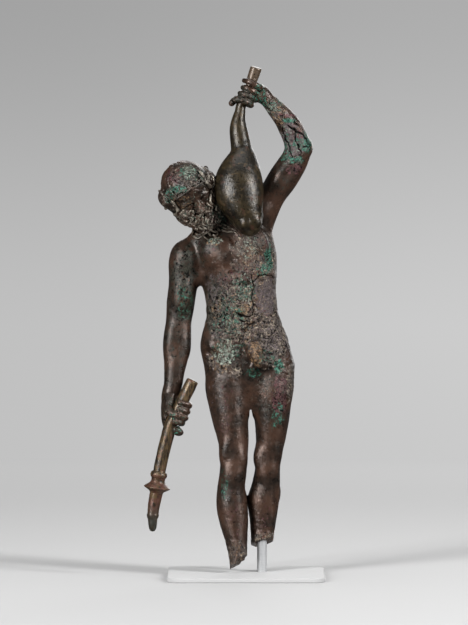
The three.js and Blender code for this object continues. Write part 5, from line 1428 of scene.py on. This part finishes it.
def bronze(name, wear_and_glint_colour):
    nodes = Nodes(name)
    broad = nodes.noise(12, 4)
    middle = nodes.noise(3.4, 5, 0.65)
    fine = nodes.noise(1.8, 4, 0.7, distortion=1.2)
    grit = nodes.noise(0.9, 3, 0.7)
    colour = nodes.mix(nodes.between(middle, 0.32, 0.66), BRONZE_DARK, BRONZE_BROWN)
    colour = nodes.mix(nodes.between(broad, 0.38, 0.68), colour, BRONZE_WARM)
    crust = nodes.mix(nodes.between(nodes.noise(4.0, 4, 0.65), 0.46, 0.58), CRUST_BROWN, CRUST_GREY)
    crust = nodes.mix(nodes.between(nodes.noise(1.3, 4, 0.7), 0.53, 0.60), crust, CRUST_LIGHT)
    shaded = nodes.mix(nodes.between(nodes.noise(5.0, 4, 0.65), 0.38, 0.62), *CRUST_SHADES)
    covered = nodes.patch("crust", nodes.noise(2.6, 4, 0.7))
    colour = nodes.mix(covered, colour, nodes.times(crust, shaded))
    for kind, tone in PATINA_COLOURS.items():
        shades = [tuple(share * part for part in tone) for share in PATINA_SHADES]
        shade = nodes.mix(nodes.between(grit, 0.38, 0.60), *shades)
        patch = nodes.patch(kind, nodes.noise(1.5, 4, 0.65, distortion=0.9))
        colour = nodes.mix(patch, colour, shade)
        covered = nodes.math("MAXIMUM", covered, patch)
    # Paler on ridges: wear, and with the hair's colour also a painted highlight on the crests
    wear_and_glint = nodes.attribute("wear_and_glint")
    wear_and_glint = nodes.math("MULTIPLY", wear_and_glint, nodes.between(nodes.noise(3.0, 3), 0.38, 0.60, 0.15, 0.9))
    colour = nodes.mix(wear_and_glint, colour, wear_and_glint_colour)
    gaps = nodes.math("MULTIPLY", nodes.between(fine, 0.425, 0.50, 0.95, 0), covered)
    gaps = nodes.math("MULTIPLY", gaps, nodes.between(nodes.attribute("mauve"), 0.5, 0.9, 1, 0.3))
    pits = nodes.between(nodes.noise(1.2, 3, 0.7), 0.58, 0.64, 0, 0.4)
    dark = nodes.math("MAXIMUM", gaps, pits)
    # Black in hollows and cracks: dirt there, and painted shade where the light does not reach
    dark = nodes.math("MAXIMUM", dark, nodes.scaled(nodes.attribute("recess_dirt_and_shade"), 0.95))
    nodes.link(nodes.mix(dark, colour, BLACK), nodes.shader.inputs["Base Color"])
    metal = nodes.between(covered, 0.0, 1.0, METAL_SHARE, 0.05)
    nodes.link(nodes.math("MAXIMUM", metal, dark), nodes.shader.inputs["Metallic"])
    smooth = nodes.between(middle, 0.3, 0.7, 0.26, 0.35)
    nodes.link(nodes.math("ADD", smooth, nodes.scaled(covered, 0.24)), nodes.shader.inputs["Roughness"])
    nodes.shader.inputs["Specular IOR Level"].default_value = 0.6
    grain = nodes.math("MULTIPLY", fine, nodes.scaled(nodes.attribute("crust"), 1.1, 0.12))
    rough = nodes.bump(grain, 0.8, 1.0, nodes.bump(grit, 0.05, 1.0, nodes.bump(middle, 0.25, 0.5)))
    nodes.link(rough, nodes.shader.inputs["Normal"])
    return nodes.material


SKIN_COLOURS = {
    "dark": (0.008, 0.006, 0.003), "olive": (0.028, 0.020, 0.009), "ochre": (0.066, 0.043, 0.018),
    "red": (0.060, 0.026, 0.016), "mouth": (0.105, 0.072, 0.048),
}
SKIN_MOUTH_LIGHT_RISE = (271, 276)          # mm above the floor over which the painted light of the mouth comes in


def olive_bronze(name):
    nodes = Nodes(name)
    broad = nodes.noise(9, 4, 0.6)
    middle = nodes.noise(3.0, 5, 0.65)
    fine = nodes.noise(1.4, 3, 0.65)
    colour = nodes.mix(nodes.between(broad, 0.40, 0.60), SKIN_COLOURS["dark"], SKIN_COLOURS["olive"])
    colour = nodes.mix(nodes.between(middle, 0.54, 0.66, 0, 0.75), colour, SKIN_COLOURS["ochre"])
    reddened = nodes.between(nodes.noise(4.0, 4, 0.6), 0.57, 0.66, 0, 0.6)
    colour = nodes.mix(reddened, colour, SKIN_COLOURS["red"])
    # Painted light: the top end of the neck is drawn paler brown, as it looks where light falls on it
    patchy_light = nodes.between(fine, 0.36, 0.56, 0.3, 1)
    mouth = nodes.math("MULTIPLY", nodes.between(nodes.rise(), *SKIN_MOUTH_LIGHT_RISE), patchy_light)
    colour = nodes.mix(mouth, colour, SKIN_COLOURS["mouth"])
    pits = nodes.between(fine, 0.57, 0.66, 0, 0.85)
    nodes.link(nodes.mix(pits, colour, BLACK), nodes.shader.inputs["Base Color"])
    nodes.link(nodes.math("MAXIMUM", pits, 0.3), nodes.shader.inputs["Metallic"])
    nodes.shader.inputs["Specular IOR Level"].default_value = 0.6
    nodes.link(nodes.between(middle, 0.3, 0.7, 0.27, 0.38), nodes.shader.inputs["Roughness"])
    nodes.link(nodes.bump(middle, 0.40, 0.7, nodes.bump(fine, 0.14, 0.9)), nodes.shader.inputs["Normal"])
    return nodes.material


TORCH_COLOURS = {
    "dark": (0.020, 0.015, 0.010), "brown": (0.110, 0.072, 0.034), "red": (0.130, 0.058, 0.036),
    "flange": (0.095, 0.040, 0.026), "tip": (0.032, 0.034, 0.026), "pits": (0.010, 0.008, 0.006),
}
FLANGE_RISE = (54, 60)                # mm above the floor over which the flange's colour goes out
TORCH_TIP_RISE = (30, 44)             # and the tip's


def red_bronze(name):
    nodes = Nodes(name)
    streaks = nodes.noise(1.6, 5, 0.6, stretch=(1, 1, 0.22))
    middle = nodes.noise(2.4, 4)
    fine = nodes.noise(0.9, 3, 0.6)
    colour = nodes.mix(nodes.between(streaks, 0.40, 0.60), TORCH_COLOURS["dark"], TORCH_COLOURS["brown"])
    colour = nodes.mix(nodes.between(middle, 0.54, 0.66, 0, 0.7), colour, TORCH_COLOURS["red"])
    patchy = nodes.between(middle, 0.36, 0.58)
    flange = nodes.math("MULTIPLY", nodes.between(nodes.rise(), *FLANGE_RISE, 1, 0), patchy)
    colour = nodes.mix(flange, colour, TORCH_COLOURS["flange"])
    patchy = nodes.between(middle, 0.34, 0.56, 0.4, 1)
    tip = nodes.math("MULTIPLY", nodes.between(nodes.rise(), *TORCH_TIP_RISE, 1, 0), patchy)
    colour = nodes.mix(tip, colour, TORCH_COLOURS["tip"])
    colour = nodes.mix(nodes.between(fine, 0.58, 0.68, 0, 0.85), colour, TORCH_COLOURS["pits"])
    nodes.link(colour, nodes.shader.inputs["Base Color"])
    nodes.shader.inputs["Metallic"].default_value = 0.35
    nodes.link(nodes.between(middle, 0.3, 0.7, 0.30, 0.48), nodes.shader.inputs["Roughness"])
    nodes.link(nodes.bump(streaks, 0.3, 0.6, nodes.bump(fine, 0.15, 0.7)), nodes.shader.inputs["Normal"])
    return nodes.material


ROD_GREYS = ((0.34, 0.345, 0.35), (0.43, 0.435, 0.44))


def turned_metal(name):
    nodes = Nodes(name)
    rings = nodes.noise(2.0, 3, 0.5, stretch=(0.2, 0.2, 3))
    fine = nodes.noise(0.5, 3)
    nodes.link(nodes.mix(rings, *ROD_GREYS), nodes.shader.inputs["Base Color"])
    nodes.shader.inputs["Metallic"].default_value = 0.3
    nodes.link(nodes.between(fine, 0.3, 0.7, 0.45, 0.6), nodes.shader.inputs["Roughness"])
    nodes.link(nodes.bump(rings, 0.03, 0.4), nodes.shader.inputs["Normal"])
    return nodes.material


PLATE_TOP_GREYS = ((0.53, 0.53, 0.53), (0.55, 0.55, 0.55))
# The upright sides are a darker grey than the top: painted shade, against the stronger light that falls on
# them
PLATE_SIDE_SHADE_GREY = (0.41, 0.41, 0.41)


def painted_plate(name):
    nodes = Nodes(name)
    orange_peel = nodes.noise(1.2, 2)
    shade = nodes.noise(30, 3)
    split = nodes.tree.nodes.new("ShaderNodeSeparateXYZ")
    nodes.link(nodes.tree.nodes.new("ShaderNodeNewGeometry").outputs["Normal"], split.inputs[0])
    top = nodes.mix(shade, *PLATE_TOP_GREYS)
    # Painted shade on the sides, chosen by how far the surface faces up
    colour = nodes.mix(nodes.between(split.outputs["Z"], 0.7, 0.97), PLATE_SIDE_SHADE_GREY, top)
    nodes.link(colour, nodes.shader.inputs["Base Color"])
    nodes.shader.inputs["Specular IOR Level"].default_value = 0.1
    nodes.link(nodes.between(orange_peel, 0.3, 0.7, 0.8, 0.9), nodes.shader.inputs["Roughness"])
    nodes.link(nodes.bump(orange_peel, 0.04, 0.3), nodes.shader.inputs["Normal"])
    return nodes.material


# Stage: a lit round floor under the object, and round it a surround that only the camera sees, which runs
# on from the floor, curves up into a wall and glows with painted light of its own, which the lamps do not
# change, painted darker towards the top and at the left

FLOOR_RADIUS = 0.9
FLOOR_MIDDLE = 0.0001                 # a ring too small to see closes the middle
FLOOR_LIGHT = 0.548
FLOOR_SIDE_SHADING = (0.955, 0.985)          # painted shade at the left, painted light at the right
SIDE_REACH = 0.35                     # from the middle to where the tone of a side is reached
FLOOR_DEPTH_SHADING = (1.0, 0.95)             # and painted shade, a little darker behind the object
FLOOR_DEPTH_REACH = 0.6
SURROUND = {"radius": 3.6, "bend": 0.7, "height": 1.6, "sides": 96, "steps": 16}
LIT_WITHIN, SHINES_BEYOND = 0.40, 0.85
# Painted light: the glow of the surround, with painted shade up the wall and at the left
SURROUND_GLOW = 0.57
WALL_SHADE = {"from": -0.1, "to": 0.48, "top": 0.665}
SURROUND_SIDE_SHADING = (0.95, 1.09)


def ring_surface(name, outline):
    """Surface that a line of distances from the middle and heights, in metres, sweeps round the middle."""
    angles = np.arange(SURROUND["sides"]) / SURROUND["sides"] * 2 * math.pi
    around = np.stack([np.cos(angles), np.sin(angles)], axis=1)
    rings = [np.column_stack([away * around, np.full(len(angles), height)]) for away, height in outline]
    first = np.arange(len(outline) - 1)[:, None] * len(angles) + np.arange(len(angles))
    turn = np.arange(len(outline) - 1)[:, None] * len(angles) + (np.arange(len(angles)) + 1) % len(angles)
    halves = [np.stack([first, turn, first + len(angles)], -1)]
    halves.append(np.stack([turn, turn + len(angles), first + len(angles)], -1))
    return mesh_object(name, np.concatenate(rings) / MM, np.concatenate(halves).reshape(-1, 3))


def backdrop_paper():
    nodes = Nodes("backdrop_paper")
    split = nodes.tree.nodes.new("ShaderNodeSeparateXYZ")
    nodes.link(nodes.place, split.inputs[0])
    x, y, z = (split.outputs[axis] for axis in "XYZ")
    squares = nodes.math("ADD", nodes.math("MULTIPLY", x, x), nodes.math("MULTIPLY", y, y))
    shines = nodes.between(nodes.math("POWER", squares, 0.5), LIT_WITHIN, SHINES_BEYOND)
    # Floor colour with painted shade: darker at the left and further back
    light = nodes.math("MULTIPLY", nodes.between(x, -SIDE_REACH, SIDE_REACH, *FLOOR_SIDE_SHADING), FLOOR_LIGHT)
    light = nodes.math("MULTIPLY", light, nodes.between(y, 0.0, FLOOR_DEPTH_REACH, *FLOOR_DEPTH_SHADING))
    light = nodes.math("MULTIPLY", light, nodes.math("SUBTRACT", 1.0, shines))
    # Glow of the surround: painted light, darker up the wall and at the left
    wall = nodes.between(z, WALL_SHADE["from"], WALL_SHADE["to"], 1.0, WALL_SHADE["top"])
    tone = nodes.math("MULTIPLY", wall, SURROUND_GLOW)
    tone = nodes.math("MULTIPLY", tone, nodes.between(x, -SIDE_REACH, SIDE_REACH, *SURROUND_SIDE_SHADING))
    nodes.link(nodes.mix(light, (0.0, 0.0, 0.0), (1.0, 1.0, 1.0)), nodes.shader.inputs["Base Color"])
    nodes.link(nodes.mix(tone, (0.0, 0.0, 0.0), (1.0, 1.0, 1.0)), nodes.shader.inputs["Emission Color"])
    nodes.link(shines, nodes.shader.inputs["Emission Strength"])
    nodes.shader.inputs["Roughness"].default_value = 0.9
    nodes.link(nodes.scaled(shines, -0.1, 0.1), nodes.shader.inputs["Specular IOR Level"])
    return nodes.material


def make_stage():
    radius, bend, steps = SURROUND["radius"], SURROUND["bend"], SURROUND["steps"]
    outline = [(FLOOR_RADIUS, 0.0)]
    for n in range(steps + 1):
        turn = n / steps * math.pi / 2
        outline.append((radius - bend * (1 - math.sin(turn)), bend * (1 - math.cos(turn))))
    outline.append((radius, SURROUND["height"]))
    floor = ring_surface("floor", [(FLOOR_MIDDLE, 0.0), (FLOOR_RADIUS, 0.0)])
    surround = ring_surface("surround", outline)
    paper = backdrop_paper()
    for piece in (floor, surround):
        piece.data.materials.append(paper)
        piece.visible_glossy = False
    surround.visible_diffuse = False
    surround.visible_shadow = False


LIGHTS = [
    # name, place and aim in metres, size, power in watts
    ("left_window", (-1.25, -1.25, 0.64), (0, 0, 0.15), (0.42, 1.15), 44),
    ("right_lamp", (1.25, -0.8, 0.75), (0, 0, 0.15), (0.3, 0.9), 30),
    ("top_fill", (0.0, -0.2, 2.0), (0, 0.2, 0.1), (1.6, 1.2), 13),
    ("back_fill", (0.5, 1.9, 0.8), (0, 0, 0.15), (1.6, 1.4), 20),
]
WORLD_LIGHT = 0.055


def aim(thing, place, target):
    thing.location = place
    direction = Vector(target) - Vector(place)
    thing.rotation_euler = direction.to_track_quat("-Z", "Y").to_euler()


def make_lights():
    for name, place, target, size, power in LIGHTS:
        light = bpy.data.lights.new(name, "AREA")
        light.shape = "RECTANGLE"
        light.size, light.size_y = size
        light.energy = power
        lamp = bpy.data.objects.new(name, light)
        bpy.context.scene.collection.objects.link(lamp)
        aim(lamp, place, target)
    world = bpy.data.worlds.new("studio")
    world.use_nodes = True
    world.node_tree.nodes["Background"].inputs["Color"].default_value = (1, 1, 1, 1)
    world.node_tree.nodes["Background"].inputs["Strength"].default_value = WORLD_LIGHT
    bpy.context.scene.world = world


CAMERA = {"distance": 2.4, "frame_height": 0.350, "elevation": 2.5, "aim": (-0.0157, 0.0, 0.1481)}


def make_camera():
    camera = bpy.data.cameras.new("camera")
    camera.sensor_fit = "VERTICAL"
    camera.sensor_height = 24
    camera.lens = camera.sensor_height * CAMERA["distance"] / CAMERA["frame_height"]
    camera.clip_start, camera.clip_end = 0.1, 20
    body = bpy.data.objects.new("camera", camera)
    bpy.context.scene.collection.objects.link(body)
    slope = math.radians(CAMERA["elevation"])
    target = Vector(CAMERA["aim"])
    away = Vector((0, -math.cos(slope), math.sin(slope))) * CAMERA["distance"]
    aim(body, target + away, target)
    bpy.context.scene.camera = body
    bpy.context.scene.view_settings.view_transform = "Standard"


# Assembly


def dress(piece, material, slot, *nodes):
    piece.data.materials.clear()
    piece.data.materials.append(material)
    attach(piece, "root")
    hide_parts(*nodes)


def finish_node(name, material):
    node = bpy.data.objects[name]
    for slot in node.material_slots:
        slot.material = material


def main():
    make_camera()
    make_lights()
    make_stage()
    metal = bronze("dark_bronze", WORN_COLOUR)
    hair_metal = bronze("dark_bronze_of_hair", HAIR_WEAR_AND_GLINT_COLOUR)
    wreath_metal = bronze("dark_bronze_of_wreath", WREATH_WORN_COLOUR)
    body = model_figure()
    for piece, finish in (
        (body.mesh("satyr_body", FIGURE["faces"]), metal),
        (model_head_piece("satyr_hair", model_hair, body, HAIR_FACES), hair_metal),
        (model_head_piece("satyr_wreath", model_wreath, body, WREATH_FACES), wreath_metal),
    ):
        paint_patches(piece)
        paint_wear_glint_and_shade(piece)
        dress(piece, finish, "dark_bronze", "satyr")
    dress(make_wineskin(), olive_bronze("olive_bronze"), "olive_bronze", "wineskin")
    dress(make_torch(), red_bronze("red_bronze"), "red_bronze", "torch")
    finish_node("support_rod", turned_metal("rod_metal"))
    finish_node("support_foot", painted_plate("foot_paint"))


main()
